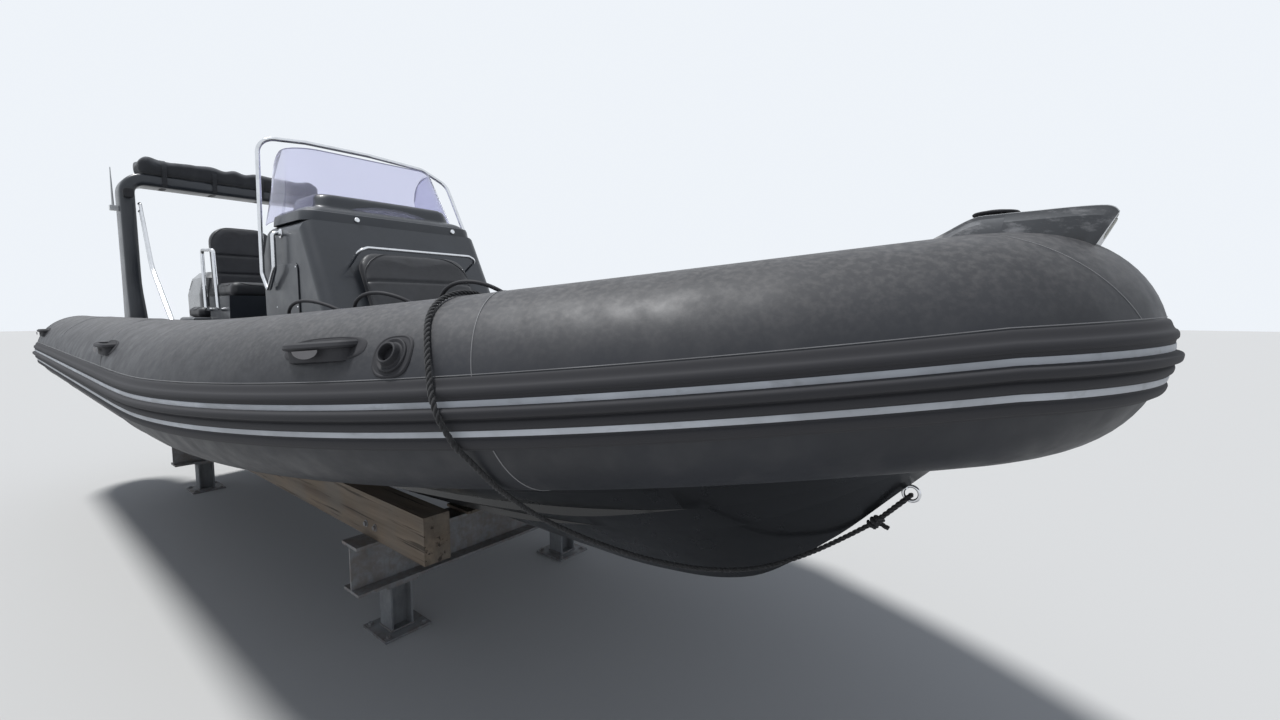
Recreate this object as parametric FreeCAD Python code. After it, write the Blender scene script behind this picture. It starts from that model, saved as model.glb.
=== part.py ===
"""Rigid inflatable boat, about seven metres long, standing ashore on its yard cradle.

All sizes are in millimetres. X runs forward, Y to port and Z up. Stations along the boat are
measured from the stern end of the tubes, heights from the floor, and every shape is moved by
ORIGIN_X at the end, so that the origin lies on the floor under the middle of the whole thing.
"""
import FreeCAD
import Part
import math
import os
from FreeCAD import Vector

os.makedirs("parts", exist_ok=True)

# Inflated tubes
TUBE_RADIUS = 280.0
BOW_RADIUS = 266.0
TUBE_LENGTH = 6950.0
TUBE_HALF_BEAM = 1050.0
TUBE_HEIGHT = 1228.0
BOW_RISE = 243.0
RISE_START = 3760.0
TAPER_START = 4050.0
SWEEP_RADIUS = 4664.0
SWEEP_TURN = 34.2
CONE_LENGTH = 430.0
CONE_END_RADIUS = 95.0
CONE_STEPS = 7
SEAT_GAP = 0.3
CONE_CLEAR = 0.6

# Rubbing strake and stripes on the outer side of the tubes, as angles above the beam line
STRAKE_LOW = -31.0
STRAKE_HIGH = 13.0
STRAKE_PROUD = 9.0
STRAKE_START = 60.0
RIB_PROUD = 17.0
BIG_RIB_PROUD = 25.0
STRIPE_PROUD = 12.0

# Hull and deck
TRANSOM_X = 550.0
TRANSOM_THICK = 60.0
TRANSOM_TOP = 1400.0
ENGINE_WELL_TOP = 1135.0
ENGINE_WELL_HALF = 340.0
KEEL_HEIGHT = 500.0
DECK_TOP = 1100.0
DECK_THICK = 20.0
DECK_END = 6250.0
CHINE_FLAT = 38.0
RAIL_WIDTH = 32.0
RAIL_PLACES = (0.36, 0.68)

# Bow nose step
NOSE_AFT = 6560.0
NOSE_TIP = 7165.0
NOSE_TOP = 1800.0
NOSE_HALF_AFT = 270.0
NOSE_HALF_TIP = 85.0
ROLLER_CHANNEL = 64.0

# Console
CONSOLE_AFT = 3200.0
CONSOLE_FRONT_TOP = 3800.0
CONSOLE_RAKE = 0.545
CONSOLE_HALF = 535.0
CONSOLE_TOP = 2040.0
CONSOLE_EDGE = 60.0
PANEL_DROP = 190.0
PANEL_RUN = 110.0
HOOD_TOP = 2130.0
SCREEN_THICK = 6.0
SCREEN_TOP = 2490.0
SCREEN_AFT = 3290.0
SCREEN_HALF = 495.0
RAIL_RADIUS = 12.5

# Helm
WHEEL_Y = -190.0
WHEEL_RADIUS = 175.0
WHEEL_TILT = 30.0
WHEEL_STAND = 95.0

# Seats
CUSHION = 80.0
FRONT_SEAT_FRONT = 4640.0
FRONT_SEAT_HALF = 340.0
FRONT_SEAT_TOP = 1390.0
FRONT_BACK_TOP = 1865.0
FRONT_BACK_THICK = 85.0
HELM_SEAT_AFT = 1740.0
HELM_SEAT_LENGTH = 540.0
HELM_SEAT_HALF = 480.0
HELM_POD_TOP = 1660.0
HELM_BACK_TOP = 2215.0
HELM_BACK_THICK = 95.0
AFT_BENCH_AFT = 1230.0
AFT_BENCH_FRONT = 1650.0
AFT_BENCH_HALF = 560.0
AFT_BENCH_TOP = 1500.0
LOCKER_WALL = 18.0
LID_THICK = 20.0

# Bow locker
BOW_LOCKER_AFT = 5450.0
BOW_LOCKER_FRONT = 6230.0
BOW_LOCKER_HALF_AFT = 500.0
BOW_LOCKER_HALF_FRONT = 200.0
BOW_LOCKER_TOP = 1290.0

# Arch and the pedestals beside the engine well
PEDESTAL_FRONT = 900.0
PEDESTAL_INNER = 600.0
ARCH_X = 740.0
ARCH_HALF = 765.0
ARCH_TOP = 2700.0
ARCH_LENGTH = 230.0
ARCH_THICK = 100.0
ARCH_CORNER = 170.0
BOOT_TOP = 2845.0
BOOT_LENGTH = 300.0

# Outboard engine
TILT_X = 490.0
TILT_HEIGHT = 1165.0
TILT_PIN = 14.0
STEER_X = 330.0
KING_PIN = 26.0
PLATE_THICK = 20.0
BRACKET_HALF = 120.0
SIDE_CLEAR = 6.0
COWL_LENGTH = 640.0
COWL_HALF = 235.0
COWL_LOW = 1290.0
COWL_TOP = 1930.0
LEG_HALF = 75.0
PROP_HEIGHT = 345.0
PROP_RADIUS = 168.0
PROP_BLADES = 3
GEARCASE_RADIUS = 56.0
PLATE_HEIGHT = 528.0
SKEG_LOW = 160.0

# Cradle
FRONT_BEAM_X = 4500.0
REAR_BEAM_X = 1150.0
BEAM_START_Y = -660.0
BEAM_END_Y = 860.0
BEAM_TOP = 485.0
BEAM_DEPTH = 235.0
BEAM_FLANGE = 150.0
BEAM_WEB = 10.0
FLANGE_THICK = 14.0
POST_PLACES = (-450.0, 650.0)
POST_SIZE = 110.0
BASE_PLATE = 230.0
PLATE = 12.0
TIMBER_Y = 500.0
TIMBER_WIDTH = 120.0
TIMBER_START = 700.0
TIMBER_END = 4980.0
KEEL_BLOCK = 200.0

# Towing and mooring eyes
BOW_EYE_X = 6686.0
BOW_EYE_Z = 1036.0
BOW_EYE_TURN = -45.0
EYE_REACH = 42.0
EYE_THICK = 16.0
EYE_OUTER = 34.0
EYE_HOLE = 18.0


# Worked out from the sizes above
TURN = math.radians(SWEEP_TURN)
FLOOR = 0.0
SWEEP_IN = SWEEP_RADIUS * (1.0 - math.cos(TURN))
NOSE_ARC = (TUBE_HALF_BEAM - SWEEP_IN) / math.cos(TURN)
SWEEP_START = TUBE_LENGTH - SWEEP_RADIUS * math.sin(TURN) - NOSE_ARC * (1.0 - math.sin(TURN))
SWEEP_LENGTH = SWEEP_RADIUS * TURN
NOSE_LENGTH = NOSE_ARC * (math.pi / 2.0 - TURN)
HALF_PATH = SWEEP_START + SWEEP_LENGTH + NOSE_LENGTH
STRAIGHT_END = RISE_START - 60.0
BOW_END = TUBE_LENGTH + BOW_RADIUS + BIG_RIB_PROUD
STERN_END = STEER_X - 0.72 * COWL_LENGTH
ORIGIN_X = (BOW_END + STERN_END) / 2.0

PARTS = {}


def add(name, shape):
    """Keep a finished sub-part under its name."""
    PARTS[name] = shape


def tube_height(x):
    """Height of the tube's centre line at station x."""
    run = max(0.0, x - RISE_START) / (TUBE_LENGTH - RISE_START)
    return TUBE_HEIGHT + BOW_RISE * run * run


def tube_radius(x):
    """Radius of the tube at station x."""
    if x < CONE_LENGTH:
        run = (CONE_LENGTH - x) / CONE_LENGTH
        return CONE_END_RADIUS + (TUBE_RADIUS - CONE_END_RADIUS) * (1.0 - run ** 2.2) ** 0.8
    run = max(0.0, x - TAPER_START) / (TUBE_LENGTH - TAPER_START)
    return TUBE_RADIUS + (BOW_RADIUS - TUBE_RADIUS) * run ** 1.5


def tube_half_beam(x):
    """Distance of the tube's centre line from the middle plane at station x."""
    if x <= SWEEP_START:
        return TUBE_HALF_BEAM
    knee = SWEEP_START + SWEEP_RADIUS * math.sin(TURN)
    if x <= knee:
        return TUBE_HALF_BEAM - SWEEP_RADIUS + math.sqrt(SWEEP_RADIUS ** 2 - (x - SWEEP_START) ** 2)
    return math.sqrt(max(0.0, NOSE_ARC ** 2 - (x - TUBE_LENGTH + NOSE_ARC) ** 2))


def frame_at(s):
    """Centre, outward side and upward side of the starboard path at length s from the stern.

    Past HALF_PATH the path goes on down the port side.
    """
    mirrored = s > HALF_PATH
    run = 2.0 * HALF_PATH - s if mirrored else s
    if run <= SWEEP_START:
        x, y, heading = run, TUBE_HALF_BEAM, 0.0
    elif run <= SWEEP_START + SWEEP_LENGTH:
        heading = (run - SWEEP_START) / SWEEP_RADIUS
        x = SWEEP_START + SWEEP_RADIUS * math.sin(heading)
        y = TUBE_HALF_BEAM - SWEEP_RADIUS * (1.0 - math.cos(heading))
    else:
        heading = TURN + (run - SWEEP_START - SWEEP_LENGTH) / NOSE_ARC
        x = TUBE_LENGTH - NOSE_ARC + NOSE_ARC * math.sin(heading)
        y = NOSE_ARC * math.cos(heading)
    slope = 0.0
    if x > RISE_START:
        slope = 2.0 * BOW_RISE * (x - RISE_START) / (TUBE_LENGTH - RISE_START) ** 2 * math.cos(heading)
    tangent = Vector(math.cos(heading), math.sin(heading), slope).normalize()
    side = Vector(math.sin(heading), -math.cos(heading), 0.0)
    up = side.cross(tangent).normalize()
    centre = Vector(x, -y, tube_height(x))
    if mirrored:
        centre.y, side.y, up.y = -centre.y, -side.y, -up.y
    return centre, side, up, tube_radius(x)


def on_tube(s, angle, lift):
    """Point on the tube at length s, at an angle above the beam line, lifted off the skin."""
    centre, side, up, radius = frame_at(s)
    turn = math.radians(angle)
    return centre + (side * math.cos(turn) + up * math.sin(turn)) * (radius + lift)


def ring(s, lift):
    """Circular wire round the tube at length s."""
    centre, side, up, radius = frame_at(s)
    return Part.Wire(Part.Circle(centre, side.cross(up), radius + lift).toShape())


def spaced(start, end, count):
    """Even steps from start to end, both included."""
    return [start + (end - start) * i / (count - 1.0) for i in range(count)]


def swept_stations():
    """Lengths of the curved stations of one side, from the straight part's end to the knee."""
    knee = SWEEP_START + SWEEP_LENGTH
    return [STRAIGHT_END, (STRAIGHT_END + SWEEP_START) / 2.0] + spaced(SWEEP_START, knee, 7)


def cone_stations():
    """Stations along the stern cone, closer together towards its end."""
    return [CONE_LENGTH * (i / CONE_STEPS) ** 1.5 for i in range(CONE_STEPS + 1)]


def nose_stations():
    """Lengths of the stations round the bow, from knee to knee."""
    knee = SWEEP_START + SWEEP_LENGTH
    return spaced(knee, 2.0 * HALF_PATH - knee, 9)


def mirror(shape):
    """Copy of a shape on the other side of the middle plane."""
    return shape.mirror(Vector(0, 0, 0), Vector(0, 1, 0))


def cylinder(start, end, radius):
    """Round bar between two points."""
    axis = end - start
    return Part.makeCylinder(radius, axis.Length, start, axis)


def box(x0, x1, y0, y1, z0, z1):
    """Block between two corners."""
    return Part.makeBox(x1 - x0, y1 - y0, z1 - z0, Vector(x0, y0, z0))


def polygon(points):
    """Closed wire through points."""
    return Part.makePolygon(points + [points[0]])


def prism(points, along):
    """Solid from a closed outline pushed along a vector."""
    return Part.Face(polygon(points)).extrude(along)


def fuse(shapes):
    """One shape from several, with the seams between them removed."""
    first = shapes[0]
    return first.fuse(shapes[1:]).removeSplitter() if len(shapes) > 1 else first


def bent_tube(points, radius, bend):
    """Round tube along straight runs joined by tangent arcs of one bend radius."""
    edges = []
    last = points[0]
    for i in range(1, len(points) - 1):
        back = (points[i - 1] - points[i])
        fore = (points[i + 1] - points[i])
        room = 0.49 * min(back.Length, fore.Length)
        back.normalize()
        fore.normalize()
        half = (math.pi - back.getAngle(fore)) / 2.0
        reach = min(bend * math.tan(half), room)
        arc_radius = reach / math.tan(half)
        begin = points[i] + back * reach
        end = points[i] + fore * reach
        middle_way = (back + fore).normalize()
        centre_gap = arc_radius / math.cos(half)
        middle = points[i] + middle_way * (centre_gap - arc_radius)
        edges.append(Part.LineSegment(last, begin).toShape())
        edges.append(Part.Arc(begin, middle, end).toShape())
        last = end
    edges.append(Part.LineSegment(last, points[-1]).toShape())
    path = Part.Wire(edges)
    start_way = (points[1] - points[0]).normalize()
    profile = Part.Wire(Part.Circle(points[0], start_way, radius).toShape())
    return path.makePipeShell([profile], True, False)


def tube_envelope(lift):
    """The whole ring of tubes as cutting shapes, lifted off the skin by a gap."""
    straight = Part.makeCylinder(TUBE_RADIUS + lift, STRAIGHT_END + 200.0,
                                 Vector(-200.0, -TUBE_HALF_BEAM, TUBE_HEIGHT), Vector(1, 0, 0))
    swept = Part.makeLoft([ring(s, lift) for s in swept_stations()], True, False)
    nose = Part.makeLoft([ring(s, lift) for s in nose_stations()], True, False)
    return [straight, swept, mirror(straight), mirror(swept), nose]


def make_tubes():
    """Side tubes with their stern cones, and the bow tube."""
    cone = Part.makeLoft([ring(s, 0.0) for s in cone_stations()], True, False)
    start = Vector(CONE_LENGTH, -TUBE_HALF_BEAM, TUBE_HEIGHT)
    straight = cylinder(start, Vector(STRAIGHT_END, -TUBE_HALF_BEAM, TUBE_HEIGHT), TUBE_RADIUS)
    swept = Part.makeLoft([ring(s, 0.0) for s in swept_stations()], True, False)
    starboard = cone.fuse([straight, swept])
    add("tube_starboard", starboard)
    add("tube_port", mirror(starboard))
    add("tube_bow", Part.makeLoft([ring(s, 0.0) for s in nose_stations()], True, False))


def band_profile(s, table, inner):
    """Closed outline across a band on the tube: an arc at the skin and the outer points.

    The table's columns are the angle above the beam line and the height off the skin.
    """
    low, high = table[0][0], table[-1][0]
    if s < CONE_LENGTH:
        inner += CONE_CLEAR
    start = on_tube(s, low, inner)
    middle = on_tube(s, (low + high) / 2.0, inner)
    end = on_tube(s, high, inner)
    edges = [Part.Arc(start, middle, end).toShape()]
    outer = [end] + [on_tube(s, angle, lift) for angle, lift in reversed(table)] + [start]
    for a, b in zip(outer[:-1], outer[1:]):
        edges.append(Part.LineSegment(a, b).toShape())
    return Part.Wire(edges)


def band(table, inner, start):
    """Band swept round the whole collar."""
    def stretch(stations, ruled=False):
        """One stretch of the band, through the same stations as the tube under it."""
        return Part.makeLoft([band_profile(s, table, inner) for s in stations], True, ruled)
    cone = stretch([s for s in cone_stations() if s >= start])
    straight = stretch([CONE_LENGTH, STRAIGHT_END], True)
    side = [cone, straight, stretch(swept_stations())]
    return fuse(side + [mirror(piece) for piece in side] + [stretch(nose_stations())])


def make_strakes():
    """Ribbed rubbing strake with a pale stripe in each of its two grooves."""
    # angle above the beam line, height off the skin
    strake = (
        (-31.0, 4.0), (-29.0, STRAKE_PROUD), (-25.0, RIB_PROUD), (-21.5, RIB_PROUD),
        (-19.5, STRAKE_PROUD), (-10.5, STRAKE_PROUD), (-9.0, BIG_RIB_PROUD), (-3.5, BIG_RIB_PROUD),
        (-2.0, STRAKE_PROUD), (5.0, STRAKE_PROUD), (6.5, RIB_PROUD), (9.5, RIB_PROUD),
        (11.0, STRAKE_PROUD), (13.0, 4.0),
    )
    add("rub_strake", band(strake, SEAT_GAP, STRAKE_START))
    upper = ((-0.9, STRIPE_PROUD), (2.6, STRIPE_PROUD))
    lower = ((-16.6, STRIPE_PROUD), (-13.4, STRIPE_PROUD))
    add("stripe_upper", band(upper, STRAKE_PROUD + SEAT_GAP, STRAKE_START + 20.0))
    add("stripe_lower", band(lower, STRAKE_PROUD + SEAT_GAP, STRAKE_START + 20.0))


def hull_section(x, keel, chine_half, chine_height, top_half, top_height):
    """Closed outline of the hull at one station, with its spray rails and chine flats."""
    def bottom(share):
        return chine_half * share, keel + (chine_height - keel) * share
    half = []
    for place in RAIL_PLACES:
        y_out, z_out = bottom(place)
        share_in = place - RAIL_WIDTH / 800.0
        y_in, z_in = bottom(share_in)
        half += [(y_in, z_in), (y_out, z_in), (y_out, z_out)]
    flat = CHINE_FLAT * chine_half / 800.0
    half += [bottom(1.0), (chine_half + flat, chine_height + 2.0), (top_half, top_height)]
    starboard = [Vector(x, -y, z) for y, z in half]
    port = [Vector(x, y, z) for y, z in reversed(half)]
    return polygon([Vector(x, 0, keel)] + starboard + port)


def make_hull(envelope):
    """Deep-V hull up to the deck, cut back where the tubes lie in it."""
    under = DECK_TOP - DECK_THICK - SEAT_GAP
    # station, keel height, chine half breadth, chine height, top half breadth, top height
    table = (
        (TRANSOM_X, KEEL_HEIGHT, 800.0, 850.0, 900.0, under),
        (2200.0, KEEL_HEIGHT, 800.0, 852.0, 900.0, under),
        (3600.0, KEEL_HEIGHT, 795.0, 862.0, 895.0, under),
        (4600.0, KEEL_HEIGHT + 1.0, 755.0, 890.0, 860.0, under),
        (5300.0, KEEL_HEIGHT + 6.0, 665.0, 935.0, 800.0, under),
        (5800.0, KEEL_HEIGHT + 28.0, 550.0, 985.0, 700.0, under),
        (6200.0, KEEL_HEIGHT + 118.0, 415.0, 1040.0, 560.0, 1140.0),
        (6480.0, KEEL_HEIGHT + 330.0, 295.0, 1095.0, 430.0, 1215.0),
        (6680.0, KEEL_HEIGHT + 530.0, 185.0, 1145.0, 320.0, 1260.0),
        (6800.0, KEEL_HEIGHT + 650.0, 95.0, 1180.0, 240.0, 1290.0),
    )
    hull = Part.makeLoft([hull_section(*row) for row in table], True, True)
    hull = hull.cut(envelope)
    above = box(BOW_LOCKER_AFT, DECK_END + 20.0, -900.0, 900.0, under, under + 400.0)
    add("hull", main_solid(hull.cut(above)))


def main_solid(shape):
    """The largest solid of a shape."""
    return max(shape.Solids, key=lambda solid: solid.Volume)


def make_deck(envelope):
    """Flat cockpit sole between the tubes."""
    stations = [TRANSOM_X + TRANSOM_THICK + SEAT_GAP] + spaced(SWEEP_START, DECK_END, 7)
    half = [(x, tube_half_beam(x) - 0.5 * tube_radius(x)) for x in stations]
    outline = [Vector(x, -y, DECK_TOP - DECK_THICK) for x, y in half]
    outline += [Vector(x, y, DECK_TOP - DECK_THICK) for x, y in reversed(half)]
    sole = prism(outline, Vector(0, 0, DECK_THICK))
    add("deck", main_solid(sole.cut(envelope)))


def make_transom(envelope):
    """Transom above the deck with the low seat for the engine."""
    x0, x1 = TRANSOM_X, TRANSOM_X + TRANSOM_THICK
    low = DECK_TOP - DECK_THICK
    side = ENGINE_WELL_HALF
    outline = [
        Vector(x0, -1100, low), Vector(x0, 1100, low), Vector(x0, 1100, TRANSOM_TOP),
        Vector(x0, side + 90, TRANSOM_TOP), Vector(x0, side, ENGINE_WELL_TOP),
        Vector(x0, -side, ENGINE_WELL_TOP), Vector(x0, -side - 90, TRANSOM_TOP),
        Vector(x0, -1100, TRANSOM_TOP),
    ]
    plate = prism(outline, Vector(x1 - x0, 0, 0))
    add("transom", main_solid(plate.cut(envelope)))


def make_nose(envelope):
    """Bow step moulding with its anchor channel, and the roller in it."""
    def outline(z, grow):
        return [
            Vector(NOSE_AFT - grow, -NOSE_HALF_AFT - grow, z),
            Vector(NOSE_TIP - 70.0, -NOSE_HALF_TIP - grow, z),
            Vector(NOSE_TIP, -NOSE_HALF_TIP + 10.0, z),
            Vector(NOSE_TIP, NOSE_HALF_TIP - 10.0, z),
            Vector(NOSE_TIP - 70.0, NOSE_HALF_TIP + grow, z),
            Vector(NOSE_AFT - grow, NOSE_HALF_AFT + grow, z),
        ]
    low = 1240.0
    body = Part.makeLoft([polygon(outline(low, 60.0)), polygon(outline(NOSE_TOP - 60.0, 20.0)),
                          polygon(outline(NOSE_TOP, -25.0))], True, True)
    half = ROLLER_CHANNEL / 2.0
    channel = box(NOSE_TIP - 330.0, NOSE_TIP + 50.0, -half, half, NOSE_TOP - 90.0, NOSE_TOP + 50.0)
    body = body.cut(channel).cut(envelope).cut(PARTS["hull"])
    forward = box(BOW_LOCKER_FRONT, NOSE_TIP + 100.0, -700.0, 700.0, low - 100.0, NOSE_TOP + 100.0)
    add("bow_nose", main_solid(body.common(forward)))
    roller_z = NOSE_TOP - 48.0
    roller_x = NOSE_TIP - 36.0
    spool = cylinder(Vector(roller_x, -half + 6.0, roller_z), Vector(roller_x, half - 6.0, roller_z), 30.0)
    pin = cylinder(Vector(roller_x, -half, roller_z), Vector(roller_x, half, roller_z), 7.0)
    add("anchor_roller", fuse([spool, pin]))


def make_windlass():
    """Low capstan with its wide drum disc, on the nose step."""
    x, z = NOSE_AFT + 290.0, NOSE_TOP + SEAT_GAP
    base = Part.makeCylinder(52.0, 14.0, Vector(x, 0, z))
    neck = Part.makeCylinder(34.0, 26.0, Vector(x, 0, z + 14.0))
    disc = Part.makeCylinder(62.0, 12.0, Vector(x, 0, z + 40.0))
    add("windlass", fuse([base, neck, disc]))


def console_front(z, gap=0.0):
    """Station of the console's raked front face at a height, with a gap in front of it."""
    return CONSOLE_FRONT_TOP + (CONSOLE_TOP - z) * CONSOLE_RAKE + gap


def make_console():
    """Console body with its slanted helm panel, and the hood moulding on top."""
    low = DECK_TOP + SEAT_GAP
    side = [
        Vector(CONSOLE_AFT, -CONSOLE_HALF, low),
        Vector(console_front(low), -CONSOLE_HALF, low),
        Vector(CONSOLE_FRONT_TOP, -CONSOLE_HALF, CONSOLE_TOP),
        Vector(CONSOLE_AFT + PANEL_RUN, -CONSOLE_HALF, CONSOLE_TOP),
        Vector(CONSOLE_AFT, -CONSOLE_HALF, CONSOLE_TOP - PANEL_DROP),
    ]
    body = prism(side, Vector(0, 2.0 * CONSOLE_HALF, 0))
    edges = [e for e in body.Edges
             if abs(abs(e.CenterOfMass.y) - CONSOLE_HALF) < 1.0 and e.CenterOfMass.x > CONSOLE_AFT + 150.0
             and e.CenterOfMass.z > low + 10.0]
    add("console_body", body.makeFillet(CONSOLE_EDGE, edges))

    def outline(z, aft, front, half, corner):
        """Rounded hood outline at one height."""
        return rounded_outline(aft, front, half, corner, z)
    base = CONSOLE_TOP + SEAT_GAP
    hood = Part.makeLoft([
        outline(base, CONSOLE_AFT + PANEL_RUN + 5.0, CONSOLE_FRONT_TOP - 8.0, CONSOLE_HALF - 12.0, 70.0),
        outline(base + 30.0, CONSOLE_AFT + PANEL_RUN + 5.0, CONSOLE_FRONT_TOP - 14.0, CONSOLE_HALF - 22.0, 80.0),
        outline(HOOD_TOP, CONSOLE_AFT + PANEL_RUN + 12.0, CONSOLE_FRONT_TOP - 75.0, CONSOLE_HALF - 105.0, 70.0),
    ], True, True)
    add("console_hood", hood)


def rounded_outline(x0, x1, half, corner, z):
    """Rectangle outline with round corners, symmetrical about the middle plane."""
    k = corner * (1.0 - math.cos(math.pi / 4.0))
    y0, y1 = -half, half
    corners = (
        (Vector(x1 - corner, y0, z), Vector(x1 - k, y0 + k, z), Vector(x1, y0 + corner, z)),
        (Vector(x1, y1 - corner, z), Vector(x1 - k, y1 - k, z), Vector(x1 - corner, y1, z)),
        (Vector(x0 + corner, y1, z), Vector(x0 + k, y1 - k, z), Vector(x0, y1 - corner, z)),
        (Vector(x0, y0 + corner, z), Vector(x0 + k, y0 + k, z), Vector(x0 + corner, y0, z)),
    )
    edges = []
    for i, (start, middle, end) in enumerate(corners):
        edges.append(Part.Arc(start, middle, end).toShape())
        edges.append(Part.LineSegment(end, corners[(i + 1) % 4][0]).toShape())
    return Part.Wire(edges)


def screen_outline(z, aft, knee, front, half):
    """Thin U-shaped outline of the wrap-round screen at one height."""
    inner = half - SCREEN_THICK
    edges = [
        Part.LineSegment(Vector(aft, -half, z), Vector(knee, -half, z)).toShape(),
        Part.Arc(Vector(knee, -half, z), Vector(front, 0, z), Vector(knee, half, z)).toShape(),
        Part.LineSegment(Vector(knee, half, z), Vector(aft, half, z)).toShape(),
        Part.LineSegment(Vector(aft, half, z), Vector(aft, inner, z)).toShape(),
        Part.LineSegment(Vector(aft, inner, z), Vector(knee, inner, z)).toShape(),
        Part.Arc(Vector(knee, inner, z), Vector(front - SCREEN_THICK, 0, z),
                 Vector(knee, -inner, z)).toShape(),
        Part.LineSegment(Vector(knee, -inner, z), Vector(aft, -inner, z)).toShape(),
        Part.LineSegment(Vector(aft, -inner, z), Vector(aft, -half, z)).toShape(),
    ]
    return Part.Wire(edges)


def make_screen():
    """Tinted wrap-round screen that leans aft, cut back where the hood carries it."""
    low = CONSOLE_TOP + 1.0
    screen = Part.makeLoft([
        screen_outline(low, SCREEN_AFT, SCREEN_AFT + 250.0, CONSOLE_FRONT_TOP + 8.0, SCREEN_HALF),
        screen_outline(SCREEN_TOP, SCREEN_AFT - 15.0, SCREEN_AFT + 60.0, CONSOLE_FRONT_TOP - 350.0,
                       SCREEN_HALF - 40.0),
    ], True, True)
    add("windscreen", main_solid(screen.cut(PARTS["console_hood"])))


def make_screen_rail():
    """Stainless hoop round the screen: a leg with a folded foot, the top bar and the raked leg."""
    half = CONSOLE_HALF + 28.0
    points = [
        Vector(3390.0, -CONSOLE_HALF - 1.0, 1985.0), Vector(3390.0, -half - 12.0, 1985.0),
        Vector(3385.0, -half - 12.0, 1790.0), Vector(3340.0, -half, 1690.0), Vector(3300.0, -half, 1800.0),
        Vector(3300.0, -half, 2545.0), Vector(3400.0, -330.0, 2555.0), Vector(3500.0, 0.0, 2530.0),
        Vector(3430.0, 400.0, 2530.0), Vector(3480.0, half - 10.0, 2440.0),
        Vector(3700.0, half + 12.0, 2090.0), Vector(3700.0, half + 12.0, 1985.0),
        Vector(3700.0, CONSOLE_HALF + 1.0, 1985.0),
    ]
    add("screen_rail", bent_tube(points, RAIL_RADIUS, 90.0))


def make_front_seat():
    """Seat box in front of the console, its cushion, its backrest and the rail over it."""
    low = DECK_TOP + SEAT_GAP
    half = FRONT_SEAT_HALF
    top = FRONT_SEAT_TOP
    outline = [
        Vector(console_front(low, SEAT_GAP), -half, low), Vector(FRONT_SEAT_FRONT - 40.0, -half, low),
        Vector(FRONT_SEAT_FRONT, -half, top), Vector(console_front(top, SEAT_GAP), -half, top),
    ]
    add("front_seat_base", prism(outline, Vector(0, 2.0 * half, 0)))
    seat_low = top + SEAT_GAP
    seat_high = seat_low + CUSHION
    gap = FRONT_BACK_THICK + 4.0
    pad = [
        Vector(console_front(seat_low, gap), -half + 8.0, seat_low),
        Vector(FRONT_SEAT_FRONT, -half + 8.0, seat_low),
        Vector(FRONT_SEAT_FRONT, -half + 8.0, seat_high),
        Vector(console_front(seat_high, gap), -half + 8.0, seat_high),
    ]
    add("front_seat_cushion", prism(pad, Vector(0, 2.0 * half - 16.0, 0)))
    back = [
        Vector(console_front(seat_low, 1.0), -half, seat_low),
        Vector(console_front(seat_low, FRONT_BACK_THICK), -half, seat_low),
        Vector(console_front(FRONT_BACK_TOP, FRONT_BACK_THICK), -half, FRONT_BACK_TOP),
        Vector(console_front(FRONT_BACK_TOP, 1.0), -half, FRONT_BACK_TOP),
    ]
    add("front_seat_back", prism(back, Vector(0, 2.0 * half, 0)))
    rail_z = FRONT_BACK_TOP + 20.0
    bar_x = 4055.0
    side = half + 16.0
    face = Vector(1.0, 0, CONSOLE_RAKE).normalize()
    foot = Vector(console_front(rail_z - 90.0), -side, rail_z - 90.0) + face * 0.5
    knee = foot + face * 45.0
    points = [foot, knee, Vector(bar_x, -side, rail_z - 20.0), Vector(bar_x, -side + 45.0, rail_z)]
    points += [Vector(p.x, -p.y, p.z) for p in reversed(points)]
    add("front_seat_rail", bent_tube(points, 9.0, 40.0))


def panel_point(share, lift):
    """Point on the slanted helm panel, a share of the way up, lifted off it; and its normal."""
    slope = Vector(PANEL_RUN, 0, PANEL_DROP)
    normal = Vector(-PANEL_DROP, 0, PANEL_RUN).normalize()
    return Vector(CONSOLE_AFT, 0, CONSOLE_TOP - PANEL_DROP) + slope * share + normal * lift, normal


def make_helm():
    """Steering wheel on its tilted hub, the throttle and the instrument panel."""
    start, normal = panel_point(0.30, SEAT_GAP)
    start.y = WHEEL_Y
    boss = cylinder(start, start + normal * (WHEEL_STAND - 30.0), 38.0)
    add("helm_boss", boss)
    hub_start = start + normal * (WHEEL_STAND - 30.0 + SEAT_GAP)
    centre = start + normal * WHEEL_STAND
    rim = Part.makeTorus(WHEEL_RADIUS, 13.0, centre + normal * 35.0, normal)
    hub = cylinder(hub_start, centre + normal * 22.0, 42.0)
    across = Vector(0, 1, 0)
    upward = normal.cross(across)
    pieces = [rim, hub]
    for k in range(3):
        turn = math.radians(90.0 + 120.0 * k)
        way = across * math.cos(turn) + upward * math.sin(turn)
        pieces.append(cylinder(centre + way * 30.0 + normal * 8.0,
                               centre + way * (WHEEL_RADIUS - 2.0) + normal * 35.0, 9.0))
    add("steering_wheel", fuse(pieces))
    print("wheel pivot", centre, "axis", normal)

    base, _ = panel_point(0.25, SEAT_GAP)
    base.y = 90.0
    lever_box = cylinder(base, base + normal * 60.0, 45.0)
    lever = cylinder(base + normal * 35.0 + Vector(0, 40.0, 0), base + normal * 150.0 + Vector(0, 66.0, 60.0), 9.0)
    knob = Part.makeSphere(20.0, base + normal * 150.0 + Vector(0, 66.0, 60.0))
    add("throttle", fuse([lever_box, lever, knob]))

    low, _ = panel_point(0.62, SEAT_GAP)
    high, _ = panel_point(0.97, SEAT_GAP)
    outline = [low + normal * 0.0, high, high + normal * 12.0, low + normal * 12.0]
    panel = prism([Vector(p.x, -400.0, p.z) for p in outline], Vector(0, 800.0, 0))
    add("helm_panel", panel)


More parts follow.
